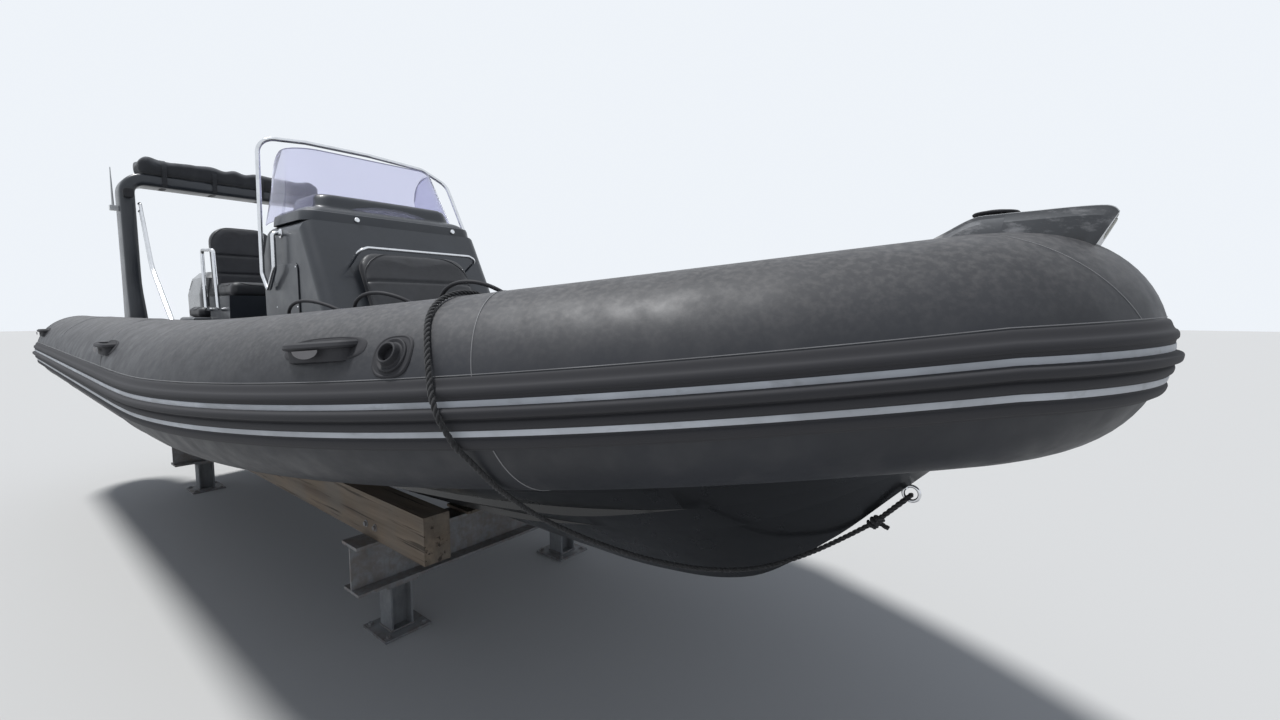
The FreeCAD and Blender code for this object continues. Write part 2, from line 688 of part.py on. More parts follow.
def make_helm_seats():
    """Seat pod with two cushions, two tall backs and the rails beside them."""
    low = DECK_TOP + SEAT_GAP
    x0 = HELM_SEAT_AFT + 40.0
    x1 = HELM_SEAT_AFT + HELM_SEAT_LENGTH
    half = HELM_SEAT_HALF
    pod = Part.makeLoft([
        polygon([Vector(x0, -half, low), Vector(x1 - 60.0, -half, low), Vector(x1 - 60.0, half, low),
                 Vector(x0, half, low)]),
        polygon([Vector(x0, -half, HELM_POD_TOP), Vector(x1, -half, HELM_POD_TOP),
                 Vector(x1, half, HELM_POD_TOP), Vector(x0, half, HELM_POD_TOP)]),
    ], True, True)
    add("helm_pod", pod)
    pads, backs = [], []
    seat_low = HELM_POD_TOP + SEAT_GAP
    for side in (-1.0, 1.0):
        y0, y1 = sorted((side * 12.0, side * (half - 5.0)))
        pads.append(box(x0 + 90.0, x1 + 10.0, y0, y1, seat_low, seat_low + CUSHION + 20.0))
        outline = [
            Vector(x0 - 10.0, y0, seat_low), Vector(x0 - 10.0 + HELM_BACK_THICK, y0, seat_low),
            Vector(x0 - 40.0 + HELM_BACK_THICK, y0, HELM_BACK_TOP), Vector(x0 - 90.0, y0, HELM_BACK_TOP),
        ]
        backs.append(prism(outline, Vector(0, y1 - y0, 0)))
    add("helm_cushions", Part.makeCompound(pads))
    add("helm_backs", Part.makeCompound(backs))
    rails = []
    for side in (-1.0, 1.0):
        y = side * (half + 38.0)
        rails.append(bent_tube([
            Vector(x0 + 60.0, side * (half + 0.5), 1560.0), Vector(x0 + 60.0, y, 1560.0),
            Vector(x0 + 40.0, y, 2010.0), Vector(x0 + 330.0, y, 1990.0),
            Vector(x0 + 370.0, y, 1560.0), Vector(x0 + 370.0, side * (half + 0.5), 1560.0),
        ], RAIL_RADIUS, 30.0))
    add("helm_rails", Part.makeCompound(rails))


def plan_outline(x0, x1, half0, half1, z):
    """Four-sided plan outline, its half widths given at its aft and forward ends."""
    return [Vector(x0, -half0, z), Vector(x1, -half1, z), Vector(x1, half1, z), Vector(x0, half0, z)]


def make_aft_bench():
    """Fixed bench ahead of the engine well, and its cushion."""
    low = DECK_TOP + SEAT_GAP
    bench = box(AFT_BENCH_AFT, AFT_BENCH_FRONT, -AFT_BENCH_HALF, AFT_BENCH_HALF, low, AFT_BENCH_TOP)
    add("aft_bench", bench.makeFillet(25.0, [e for e in bench.Edges if e.CenterOfMass.z > AFT_BENCH_TOP - 1.0]))
    pad_low = AFT_BENCH_TOP + SEAT_GAP
    pad = box(AFT_BENCH_AFT + 30.0, AFT_BENCH_FRONT - 15.0, -AFT_BENCH_HALF + 30.0, AFT_BENCH_HALF - 30.0,
              pad_low, pad_low + CUSHION)
    add("aft_cushion", pad)


def make_bow_locker():
    """Hollow tapered locker ahead of the cockpit, with its lid and cushion."""
    low = DECK_TOP + SEAT_GAP
    x0, x1 = BOW_LOCKER_AFT, BOW_LOCKER_FRONT
    h0, h1 = BOW_LOCKER_HALF_AFT, BOW_LOCKER_HALF_FRONT
    w = LOCKER_WALL
    outer = Part.makeLoft([polygon(plan_outline(x0, x1, h0, h1, low)),
                           polygon(plan_outline(x0, x1, h0, h1, BOW_LOCKER_TOP))], True, True)
    inner = Part.makeLoft([polygon(plan_outline(x0 + w, x1 - w, h0 - w - 8.0, h1 - w, low + w)),
                           polygon(plan_outline(x0 + w, x1 - w, h0 - w - 8.0, h1 - w, BOW_LOCKER_TOP + 1.0))],
                          True, True)
    add("bow_locker", outer.cut(inner))
    lid_low = BOW_LOCKER_TOP + SEAT_GAP
    lid_high = lid_low + LID_THICK
    add("bow_lid", Part.makeLoft([polygon(plan_outline(x0, x1, h0, h1, lid_low)),
                                  polygon(plan_outline(x0, x1, h0, h1, lid_high))], True, True))
    pad_low = lid_high + SEAT_GAP
    e = 12.0
    add("bow_cushion", Part.makeLoft([polygon(plan_outline(x0 + e, x1 - e, h0 - e, h1 - e, pad_low)),
                                      polygon(plan_outline(x0 + e, x1 - e, h0 - e, h1 - e, pad_low + CUSHION))],
                                     True, True))
    print("bow lid hinge", BOW_LOCKER_AFT, lid_low + LID_THICK / 2.0)


def make_arch(envelope):
    """Side pedestals, the arch on them, the fabric boot, braces, lamp and whip aerial."""
    pedestals = []
    for side in (-1.0, 1.0):
        y0, y1 = sorted((side * PEDESTAL_INNER, side * 1000.0))
        block = box(TRANSOM_X + TRANSOM_THICK + SEAT_GAP, PEDESTAL_FRONT, y0, y1, DECK_TOP + SEAT_GAP, TRANSOM_TOP)
        pedestals.append(main_solid(block.cut(envelope)))
    add("pedestals", Part.makeCompound(pedestals))
    x0, x1 = ARCH_X - ARCH_LENGTH / 2.0, ARCH_X + ARCH_LENGTH / 2.0
    foot = TRANSOM_TOP + SEAT_GAP
    t = ARCH_THICK / 2.0

    def gate(half, top, corner, x):
        """Outline of an arch as an inverted U, closed along its foot line."""
        k = corner * (1.0 - math.cos(math.pi / 4.0))
        return [
            Part.LineSegment(Vector(x, -half, foot), Vector(x, -half, top - corner)).toShape(),
            Part.Arc(Vector(x, -half, top - corner), Vector(x, -half + k, top - k),
                     Vector(x, -half + corner, top)).toShape(),
            Part.LineSegment(Vector(x, -half + corner, top), Vector(x, half - corner, top)).toShape(),
            Part.Arc(Vector(x, half - corner, top), Vector(x, half - k, top - k),
                     Vector(x, half, top - corner)).toShape(),
            Part.LineSegment(Vector(x, half, top - corner), Vector(x, half, foot)).toShape(),
            Part.LineSegment(Vector(x, half, foot), Vector(x, -half, foot)).toShape(),
        ]
    outer = Part.Face(Part.Wire(gate(ARCH_HALF + t, ARCH_TOP, ARCH_CORNER, x0))).extrude(Vector(x1 - x0, 0, 0))
    inner = Part.Face(Part.Wire(gate(ARCH_HALF - t, ARCH_TOP - 90.0, ARCH_CORNER - 60.0, x0 - 1.0)))
    arch = outer.cut(inner.extrude(Vector(x1 - x0 + 2.0, 0, 0)))
    add("arch", arch)
    boot = box(ARCH_X - BOOT_LENGTH / 2.0, ARCH_X + BOOT_LENGTH / 2.0, -ARCH_HALF + 60.0, ARCH_HALF - 60.0,
               ARCH_TOP + SEAT_GAP, BOOT_TOP)
    add("awning_boot", boot.makeFillet(50.0, [e for e in boot.Edges if abs(e.BoundBox.YLength) > 500.0]))
    braces = []
    for side in (-1.0, 1.0):
        y = side * (ARCH_HALF - t - 16.0)
        for step in (0.0, 62.0):
            braces.append(bent_tube([
                Vector(x1 + 0.5, y, 2440.0 - step), Vector(x1 + 40.0, y, 2440.0 - step),
                Vector(x1 + 330.0 - step, y, 1900.0), Vector(x1 + 1150.0 - step, y, 1250.0),
                Vector(x1 + 1150.0 - step, y, DECK_TOP + SEAT_GAP),
            ], 11.0, 400.0))
    add("arch_braces", Part.makeCompound(braces))
    lamp = box(x1 + 0.3, x1 + 60.0, -ARCH_HALF - 30.0, -ARCH_HALF + 30.0, 2480.0, 2550.0)
    add("side_lamp", lamp)
    whip_y = -ARCH_HALF - t - 30.0
    bracket = box(ARCH_X - 25.0, ARCH_X + 25.0, whip_y - 22.0, -ARCH_HALF - t - 0.3, 2380.0, 2420.0)
    whip = Part.makeCone(9.0, 3.0, 330.0, Vector(ARCH_X, whip_y, 2400.0))
    add("whip_aerial", fuse([bracket, whip]))


def make_engine():
    """Outboard engine: clamp bracket, swivel bracket, engine head with its leg, and propeller."""
    pivot = Vector(TILT_X, 0, TILT_HEIGHT)
    plates = []
    inner = BRACKET_HALF - PLATE_THICK
    for side in (-1.0, 1.0):
        y0, y1 = sorted((side * inner, side * BRACKET_HALF))
        outline = [
            Vector(TILT_X - 30.0, y0, TILT_HEIGHT + 32.0),
            Vector(TRANSOM_X + TRANSOM_THICK + 22.0, y0, TILT_HEIGHT + 32.0),
            Vector(TRANSOM_X + TRANSOM_THICK + 22.0, y0, DECK_TOP + SEAT_GAP),
            Vector(TRANSOM_X + TRANSOM_THICK + SEAT_GAP, y0, DECK_TOP + SEAT_GAP),
            Vector(TRANSOM_X + TRANSOM_THICK + SEAT_GAP, y0, ENGINE_WELL_TOP + SEAT_GAP),
            Vector(TRANSOM_X - SEAT_GAP, y0, ENGINE_WELL_TOP + SEAT_GAP),
            Vector(TRANSOM_X - SEAT_GAP, y0, 820.0), Vector(TILT_X - 10.0, y0, 820.0),
            Vector(TILT_X - 45.0, y0, TILT_HEIGHT - 40.0),
        ]
        plates.append(prism(outline, Vector(0, y1 - y0, 0)))
    pin = cylinder(Vector(TILT_X, -BRACKET_HALF - 8.0, TILT_HEIGHT), Vector(TILT_X, BRACKET_HALF + 8.0, TILT_HEIGHT),
                   TILT_PIN)
    tie = cylinder(Vector(TILT_X + 28.0, -inner - 5.0, 850.0), Vector(TILT_X + 28.0, inner + 5.0, 850.0), 13.0)
    add("engine_bracket", fuse(plates + [pin, tie]))

    half = inner - SIDE_CLEAR
    head_top = TILT_HEIGHT + 38.0
    barrel = Part.makeCylinder(KING_PIN + 20.0, head_top - 760.0, Vector(STEER_X, 0, 760.0))
    ear = prism([
        Vector(TILT_X, -half, TILT_HEIGHT + 34.0), Vector(STEER_X, -half, TILT_HEIGHT + 38.0),
        Vector(STEER_X, -half, 940.0), Vector(STEER_X + 70.0, -half, 900.0),
        Vector(TILT_X + 20.0, -half, TILT_HEIGHT - 32.0), Vector(TILT_X + 34.0, -half, TILT_HEIGHT),
    ], Vector(0, 2.0 * half, 0))
    swivel = fuse([barrel, ear])
    swivel = swivel.cut(cylinder(Vector(TILT_X, -200.0, TILT_HEIGHT), Vector(TILT_X, 200.0, TILT_HEIGHT),
                                 TILT_PIN + 0.05))
    swivel = swivel.cut(Part.makeCylinder(KING_PIN + 0.05, 900.0, Vector(STEER_X, 0, 600.0)))
    add("engine_swivel", swivel)

    # Engine head: king pin, upper and lower yokes, leg, gearcase, plates and skeg
    king = Part.makeCylinder(KING_PIN, 1245.0 - 720.0, Vector(STEER_X, 0, 720.0))
    upper = box(STEER_X - 260.0, STEER_X + 50.0, -60.0, 60.0, head_top + 6.0, COWL_LOW - SEAT_GAP)
    lower = box(STEER_X - 200.0, STEER_X + 40.0, -48.0, 48.0, 690.0, 754.0)
    leg_x = STEER_X - 95.0

    def leg_section(z, front, back, half_width):
        """Pointed oval of the leg at one height."""
        middle = (front + back) / 2.0
        return Part.Wire([
            Part.Arc(Vector(front, 0, z), Vector(middle, half_width, z), Vector(back, 0, z)).toShape(),
            Part.Arc(Vector(back, 0, z), Vector(middle, -half_width, z), Vector(front, 0, z)).toShape(),
        ])
    # height, front, back, half width
    legs = (
        (COWL_LOW - SEAT_GAP, leg_x + 30.0, leg_x - 280.0, 105.0),
        (1050.0, leg_x + 20.0, leg_x - 250.0, LEG_HALF),
        (700.0, leg_x + 20.0, leg_x - 215.0, 60.0),
        (PLATE_HEIGHT, leg_x + 30.0, leg_x - 200.0, 42.0),
        (PROP_HEIGHT, leg_x + 30.0, leg_x - 190.0, 34.0),
    )
    sections = [leg_section(*row) for row in legs]
    leg = Part.makeLoft(sections, True, True)
    gear = Part.makeCylinder(GEARCASE_RADIUS, 330.0, Vector(leg_x - 235.0, 0, PROP_HEIGHT), Vector(1, 0, 0))
    nose = Part.makeCone(GEARCASE_RADIUS, 12.0, 130.0, Vector(leg_x + 95.0, 0, PROP_HEIGHT), Vector(1, 0, 0))
    plate = prism([Vector(leg_x + 60.0, -30.0, PLATE_HEIGHT), Vector(leg_x - 120.0, -110.0, PLATE_HEIGHT),
                   Vector(leg_x - 330.0, -105.0, PLATE_HEIGHT), Vector(leg_x - 330.0, 105.0, PLATE_HEIGHT),
                   Vector(leg_x - 120.0, 110.0, PLATE_HEIGHT), Vector(leg_x + 60.0, 30.0, PLATE_HEIGHT)],
                  Vector(0, 0, 10.0))
    skeg = prism([Vector(leg_x + 60.0, -6.0, PROP_HEIGHT - 20.0), Vector(leg_x - 60.0, -6.0, SKEG_LOW),
                  Vector(leg_x - 190.0, -6.0, SKEG_LOW), Vector(leg_x - 200.0, -6.0, PROP_HEIGHT - 20.0)],
                 Vector(0, 12.0, 0))
    add("engine_leg", fuse([king, upper, lower, leg, gear, nose, plate, skeg]))

    aft = STEER_X - 0.72 * COWL_LENGTH
    front = aft + COWL_LENGTH
    cowl = Part.makeLoft([
        rounded_outline(aft + 90.0, front - 60.0, COWL_HALF - 60.0, 80.0, COWL_LOW),
        rounded_outline(aft + 10.0, front, COWL_HALF, 120.0, COWL_LOW + 150.0),
        rounded_outline(aft, front - 6.0, COWL_HALF, 120.0, COWL_LOW + 420.0),
        rounded_outline(aft + 25.0, front - 50.0, COWL_HALF - 40.0, 110.0, COWL_TOP - 60.0),
        rounded_outline(aft + 80.0, front - 130.0, COWL_HALF - 95.0, 80.0, COWL_TOP),
    ], True, True)
    add("engine_cowl", cowl)

    shaft_x = leg_x - 235.0 - 6.0
    hub = Part.makeCone(GEARCASE_RADIUS - 4.0, 34.0, 120.0, Vector(shaft_x, 0, PROP_HEIGHT), Vector(-1, 0, 0))
    pieces = [hub]
    for k in range(PROP_BLADES):
        blade = blade_shape(shaft_x - 60.0)
        blade.rotate(Vector(shaft_x, 0, PROP_HEIGHT), Vector(1, 0, 0), 360.0 / PROP_BLADES * k)
        pieces.append(blade)
    add("propeller", fuse(pieces))
    print("propeller pivot", shaft_x - 60.0, PROP_HEIGHT)


def blade_shape(x):
    """One twisted propeller blade, lofted through three thin sections."""
    # distance from the axis, chord, pitch angle from the fore and aft line
    table = ((30.0, 70.0, 35.0), (95.0, 140.0, 55.0), (145.0, 115.0, 65.0), (PROP_RADIUS, 40.0, 70.0))
    wires = []
    for out, chord, pitch in table:
        turn = math.radians(pitch)
        way = Vector(math.cos(turn), math.sin(turn), 0)
        thick = Vector(-way.y, way.x, 0) * 3.0
        centre = Vector(x, 0, PROP_HEIGHT + out)
        a, b = centre - way * (chord / 2.0), centre + way * (chord / 2.0)
        wires.append(polygon([a - thick * 0.5, b - thick * 0.5, b + thick * 0.5, a + thick * 0.5]))
    return Part.makeLoft(wires, True, True)


def make_cradle():
    """Steel beams on short posts, timber baulks along the hull and blocks under the keel."""
    beams, posts, blocks = [], [], []
    z1, z0 = BEAM_TOP, BEAM_TOP - BEAM_DEPTH
    for x in (REAR_BEAM_X, FRONT_BEAM_X):
        w, web, f = BEAM_FLANGE / 2.0, BEAM_WEB / 2.0, FLANGE_THICK
        outline = [(-w, z0), (w, z0), (w, z0 + f), (web, z0 + f), (web, z1 - f), (w, z1 - f), (w, z1),
                   (-w, z1), (-w, z1 - f), (-web, z1 - f), (-web, z0 + f), (-w, z0 + f)]
        beams.append(prism([Vector(x + a, BEAM_START_Y, b) for a, b in outline],
                           Vector(0, BEAM_END_Y - BEAM_START_Y, 0)))
        blocks.append(box(x - KEEL_BLOCK / 2.0, x + KEEL_BLOCK / 2.0, -KEEL_BLOCK / 2.0, KEEL_BLOCK / 2.0,
                          BEAM_TOP + SEAT_GAP, KEEL_HEIGHT - SEAT_GAP))
        for y in POST_PLACES:
            h, web_half, flange = POST_SIZE / 2.0, 4.0, 9.0
            low, high = FLOOR + PLATE, z0 - SEAT_GAP - PLATE
            column = fuse([
                box(x - h, x + h, y - h, y - h + flange, low, high),
                box(x - h, x + h, y + h - flange, y + h, low, high),
                box(x - web_half, x + web_half, y - h + flange, y + h - flange, low, high),
                box(x - BASE_PLATE / 2.0, x + BASE_PLATE / 2.0, y - BASE_PLATE / 2.0, y + BASE_PLATE / 2.0,
                    FLOOR, low),
                box(x - 75.0, x + 75.0, y - 75.0, y + 75.0, high, high + PLATE),
            ])
            posts.append(column)
    add("cradle_beams", Part.makeCompound(beams))
    add("cradle_posts", Part.makeCompound(posts))
    add("keel_blocks", Part.makeCompound(blocks))
    inner_y = TIMBER_Y - TIMBER_WIDTH / 2.0
    hull_at = KEEL_HEIGHT + (852.0 - KEEL_HEIGHT) * inner_y / 800.0
    timbers = []
    for side in (-1.0, 1.0):
        y0, y1 = sorted((side * inner_y, side * (inner_y + TIMBER_WIDTH)))
        timbers.append(box(TIMBER_START, TIMBER_END, y0, y1, BEAM_TOP + SEAT_GAP, hull_at - 1.0))
    add("cradle_timbers", Part.makeCompound(timbers))


def make_fittings():
    """Tube handles, round sockets, grab loops, bow eye, stern eyes and cleats."""
    # path length, angle above the beam line, length of the handle
    handles = ((5480.0, 38.0, 250.0), (3600.0, 38.0, 250.0), (900.0, 38.0, 200.0))
    grips = []
    for s, angle, length in handles:
        a, b = on_tube(s - length / 2.0, angle, 0.6), on_tube(s + length / 2.0, angle, 0.6)
        _, side, up, _ = frame_at(s)
        turn = math.radians(angle)
        out = side * math.cos(turn) + up * math.sin(turn)
        grips.append(bent_tube([a, a + out * 34.0, b + out * 34.0, b], 11.0, 24.0))
    both = grips + [mirror(g) for g in grips]
    add("tube_handles", Part.makeCompound(both))
    eyes = []
    for x, y, z, turn in ((BOW_EYE_X, 0.0, BOW_EYE_Z, BOW_EYE_TURN), (TRANSOM_X, 480.0, 800.0, 180.0),
                          (TRANSOM_X, -480.0, 800.0, 180.0)):
        eyes.append(eye_lug(x, y, z, turn).cut(PARTS["hull"]))
    add("bow_eye", main_solid(eyes[0]))
    add("stern_eyes", Part.makeCompound([main_solid(eye) for eye in eyes[1:]]))


def eye_lug(x, y, z, turn):
    """Rounded lug with its eye hole; the turn is its direction in the X-Z plane, 0 forward."""
    thick = EYE_THICK / 2.0
    disc = cylinder(Vector(EYE_REACH, -thick, 0), Vector(EYE_REACH, thick, 0), EYE_OUTER)
    web = box(-60.0, EYE_REACH, -thick, thick, -EYE_OUTER, EYE_OUTER)
    hole = cylinder(Vector(EYE_REACH, -thick - 1.0, 0), Vector(EYE_REACH, thick + 1.0, 0), EYE_HOLE)
    lug = fuse([disc, web]).cut(hole)
    lug.rotate(Vector(0, 0, 0), Vector(0, 1, 0), -turn)
    lug.translate(Vector(x, y, z))
    return lug


def build():
    """Make every sub-part."""
    envelope = tube_envelope(SEAT_GAP)
    make_tubes()
    make_strakes()
    make_hull(envelope)
    make_deck(envelope)
    make_transom(envelope)
    make_nose(envelope)
    make_windlass()
    make_console()
    make_screen()
    make_screen_rail()
    make_front_seat()
    make_helm()
    make_helm_seats()
    make_aft_bench()
    make_bow_locker()
    make_arch(envelope)
    make_engine()
    make_cradle()
    make_fittings()


build()
for name, shape in PARTS.items():
    moved = shape.copy()
    moved.translate(Vector(-ORIGIN_X, 0, 0))
    moved.exportStep("parts/" + name + ".step")
    print("%-20s solids %d volume %.3f l valid %s" % (name, len(shape.Solids), shape.Volume / 1e6, shape.isValid()))
print("origin_x %.1f" % ORIGIN_X)
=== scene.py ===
"""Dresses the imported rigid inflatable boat, standing on its yard cradle, for its portrait.

Shapes are drafted in the boat's own frame, in metres: x runs forward from the tubes' stern end,
y to port and z up from the floor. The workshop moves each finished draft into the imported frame.
"""
import logging
import math
from dataclasses import dataclass
from enum import Enum
from typing import Callable, Sequence

import bmesh
import bpy
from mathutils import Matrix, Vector, bvhtree, noise


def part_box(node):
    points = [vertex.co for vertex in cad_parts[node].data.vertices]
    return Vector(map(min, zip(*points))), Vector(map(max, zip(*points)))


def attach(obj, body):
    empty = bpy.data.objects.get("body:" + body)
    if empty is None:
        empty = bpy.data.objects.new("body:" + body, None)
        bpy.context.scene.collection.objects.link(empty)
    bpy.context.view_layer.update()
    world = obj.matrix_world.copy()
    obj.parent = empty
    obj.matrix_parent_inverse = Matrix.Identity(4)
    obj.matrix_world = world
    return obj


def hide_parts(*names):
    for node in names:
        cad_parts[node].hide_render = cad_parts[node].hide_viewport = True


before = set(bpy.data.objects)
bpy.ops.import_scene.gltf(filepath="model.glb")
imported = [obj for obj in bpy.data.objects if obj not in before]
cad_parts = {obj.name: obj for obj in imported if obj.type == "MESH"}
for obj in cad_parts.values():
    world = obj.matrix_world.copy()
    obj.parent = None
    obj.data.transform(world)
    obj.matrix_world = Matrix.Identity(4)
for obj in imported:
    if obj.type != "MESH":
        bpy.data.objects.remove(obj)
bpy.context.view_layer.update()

TRANSOM_FACE_X = 0.550
ORIGIN_X = TRANSOM_FACE_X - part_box("transom")[0].x
LOG = logging.getLogger("boat")
FORWARD, TO_PORT, UPWARD = Vector((1, 0, 0)), Vector((0, 1, 0)), Vector((0, 0, 1))

Colour = tuple[float, float, float]
Point = tuple[float, float, float]
Table = tuple[tuple[float, ...], ...]
Row = list[Vector]
Face = tuple[int, ...]
Piece = bpy.types.Object
Tree = bpy.types.NodeTree
Socket = bpy.types.NodeSocket
Value = float | Colour | Socket


class Body(Enum):
    """The moving bodies that the dressed pieces ride on."""

    BOAT = "boat"
    ENGINE = "engine_head"
    BOW_LID = "bow_lid"


class Side(Enum):
    """The two sides of the boat, as signs of y."""

    STARBOARD = -1.0
    PORT = 1.0


def smoothstep(low: float, high: float, value: float) -> float:
    """Eased share of the way from low to high."""
    share = min(1.0, max(0.0, (value - low) / (high - low)))
    return share * share * (3.0 - 2.0 * share)


def lerp(a: float, b: float, share: float) -> float:
    """Value a share of the way from a to b."""
    return a + (b - a) * share


def steps(start: float, end: float, count: int) -> list[float]:
    """Even steps from start to end, both included."""
    return [lerp(start, end, i / (count - 1)) for i in range(count)]


def squarish(value: float, power: float) -> float:
    """Power of a sine or cosine that keeps its sign, to square a round outline."""
    return abs(value) ** power * math.copysign(1.0, value)


def flipped(points: Row) -> Row:
    """Mirror image of points across the middle plane."""
    return [Vector((p.x, -p.y, p.z)) for p in points]


def way_at(line: Row, i: int) -> Vector:
    """Direction of an open line at one of its points."""
    return (line[min(i + 1, len(line) - 1)] - line[max(i - 1, 0)]).normalized()


def catmull(keys: Table, x: float) -> list[float]:
    """Smooth values between table rows whose first column is the station.

    Args:
        keys: Rows of a station and its values, in rising order of station.
        x: Station to read.

    Returns:
        The values at x, by a cubic through the rows.
    """
    last = len(keys) - 1
    i = max(0, min(last - 1, sum(1 for row in keys if row[0] <= x) - 1))
    before, here, after = keys[max(0, i - 1)], keys[i], keys[i + 1]
    beyond = keys[min(last, i + 2)]
    span = after[0] - here[0]
    t = min(1.0, max(0.0, (x - here[0]) / span))
    values = []
    for column in range(1, len(here)):
        slope_in = (after[column] - before[column]) / max(after[0] - before[0], 1e-6) * span
        slope_out = (beyond[column] - here[column]) / max(beyond[0] - here[0], 1e-6) * span
        a, b = here[column], after[column]
        values.append(
            a * (2 * t ** 3 - 3 * t ** 2 + 1) + slope_in * (t ** 3 - 2 * t ** 2 + t)
            + b * (3 * t ** 2 - 2 * t ** 3) + slope_out * (t ** 3 - t ** 2)
        )
    return values


def rounded_corners(points: Row, rounds: int = 2, closed: bool = False) -> Row:
    """Cut the corners of a line of points, a quarter of each run at a time.

    Args:
        points: The corners.
        rounds: How many times the corners are cut.
        closed: Whether the last point joins the first.

    Returns:
        The softened line.
    """
    for _ in range(rounds):
        pairs = list(zip(points, points[1:] + (points[:1] if closed else [])))
        cut = [p for a, b in pairs for p in (a.lerp(b, 0.25), a.lerp(b, 0.75))]
        points = cut if closed else [points[0]] + cut[1:-1] + [points[-1]]
    return points


def turned(centre: Vector, start: Vector, end: Vector, count: int) -> Row:
    """Points on an arc.

    Args:
        centre: Middle of the arc.
        start: Spoke to its first point.
        end: Spoke to its last point.
        count: How many points.

    Returns:
        The points, with both ends.
    """
    sweep = start.angle(end)
    points = []
    for share in steps(0.0, 1.0, count):
        low, high = math.sin((1.0 - share) * sweep), math.sin(share * sweep)
        points.append(centre + (start * low + end * high) / math.sin(sweep))
    return points


def arc_through(start: Vector, middle: Vector, end: Vector, count: int) -> Row:
    """Points on the round arc through three points.

    Args:
        start: First point.
        middle: Point on the way.
        end: Last point.
        count: Points on each side of the middle one, with it.

    Returns:
        The points, twice the count less one.
    """
    a, b = middle - start, end - start
    normal = a.cross(b)
    aside = (b * a.length_squared - a * b.length_squared).cross(normal)
    centre = start + aside / (2.0 * normal.length_squared)
    first = turned(centre, start - centre, middle - centre, count)
    return first + turned(centre, middle - centre, end - centre, count)[1:]


def bent_path(corners: Row, bend: float, count: int) -> Row:
    """Straight runs joined by arcs, as a bent pipe runs.

    Args:
        corners: Points where the runs would meet.
        bend: Bend radius, made smaller where the runs are short.
        count: Points on each arc.

    Returns:
        Points along the middle of the pipe.
    """
    path = [corners[0]]
    for before, corner, after in zip(corners, corners[1:], corners[2:]):
        back, fore = (before - corner), (after - corner)
        room = 0.48 * min(back.length, fore.length)
        back, fore = back.normalized(), fore.normalized()
        half = (math.pi - back.angle(fore)) / 2.0
        reach = min(bend * math.tan(half), room)
        centre = corner + (back + fore).normalized() * (reach / math.tan(half) / math.cos(half))
        path += turned(centre, corner + back * reach - centre, corner + fore * reach - centre, count)
    return path + [corners[-1]]


def rounded_plan(x0: float, x1: float, half: float, corner: float, z: float = 0.0, count: int = 6) -> Row:
    """Rectangle outline with round corners, symmetrical about the middle plane.

    Args:
        x0: Its near side.
        x1: Its far side.
        half: Half its width.
        corner: Radius of its corners.
        z: Its height.
        count: Points on each corner.

    Returns:
        The outline's points.
    """
    outline = []
    centres = ((x1 - corner, -half + corner, -90.0), (x1 - corner, half - corner, 0.0),
               (x0 + corner, half - corner, 90.0), (x0 + corner, -half + corner, 180.0))
    for cx, cy, start in centres:
        for k in range(count):
            turn = math.radians(start + 90.0 * k / (count - 1))
            outline.append(Vector((cx + corner * math.cos(turn), cy + corner * math.sin(turn), z)))
    return outline


def crosswise(way: Vector) -> Vector:
    """A direction square to another, level unless that one stands upright."""
    return way.cross(UPWARD if abs(way.z) < 0.9 else FORWARD).normalized()


def carried(path: Row, first: Callable[[Vector], Vector], loop: bool = False) -> list[tuple[Vector, Vector]]:
    """Carry two crosswise directions along a path without a twist.

    Args:
        path: Points of the path.
        first: Gives the first crosswise direction from the path's own at its start.
        loop: Whether the path closes on itself.

    Returns:
        Both directions at each point.
    """
    pairs, normal = [], None
    for i, point in enumerate(path):
        before = path[i - 1] if loop or i > 0 else point
        after = path[(i + 1) % len(path)] if loop or i < len(path) - 1 else point
        way = (after - before).normalized()
        normal = first(way) if normal is None else normal
        normal = (normal - way * normal.dot(way)).normalized()
        pairs.append((normal, way.cross(normal)))
    return pairs


def ring(centre: Vector, normal: Vector, across: Vector, radius: float, sides: int) -> Row:
    """Points round a circle in the plane of two directions."""
    turns = (math.tau * k / sides for k in range(sides))
    return [centre + (normal * math.cos(a) + across * math.sin(a)) * radius for a in turns]


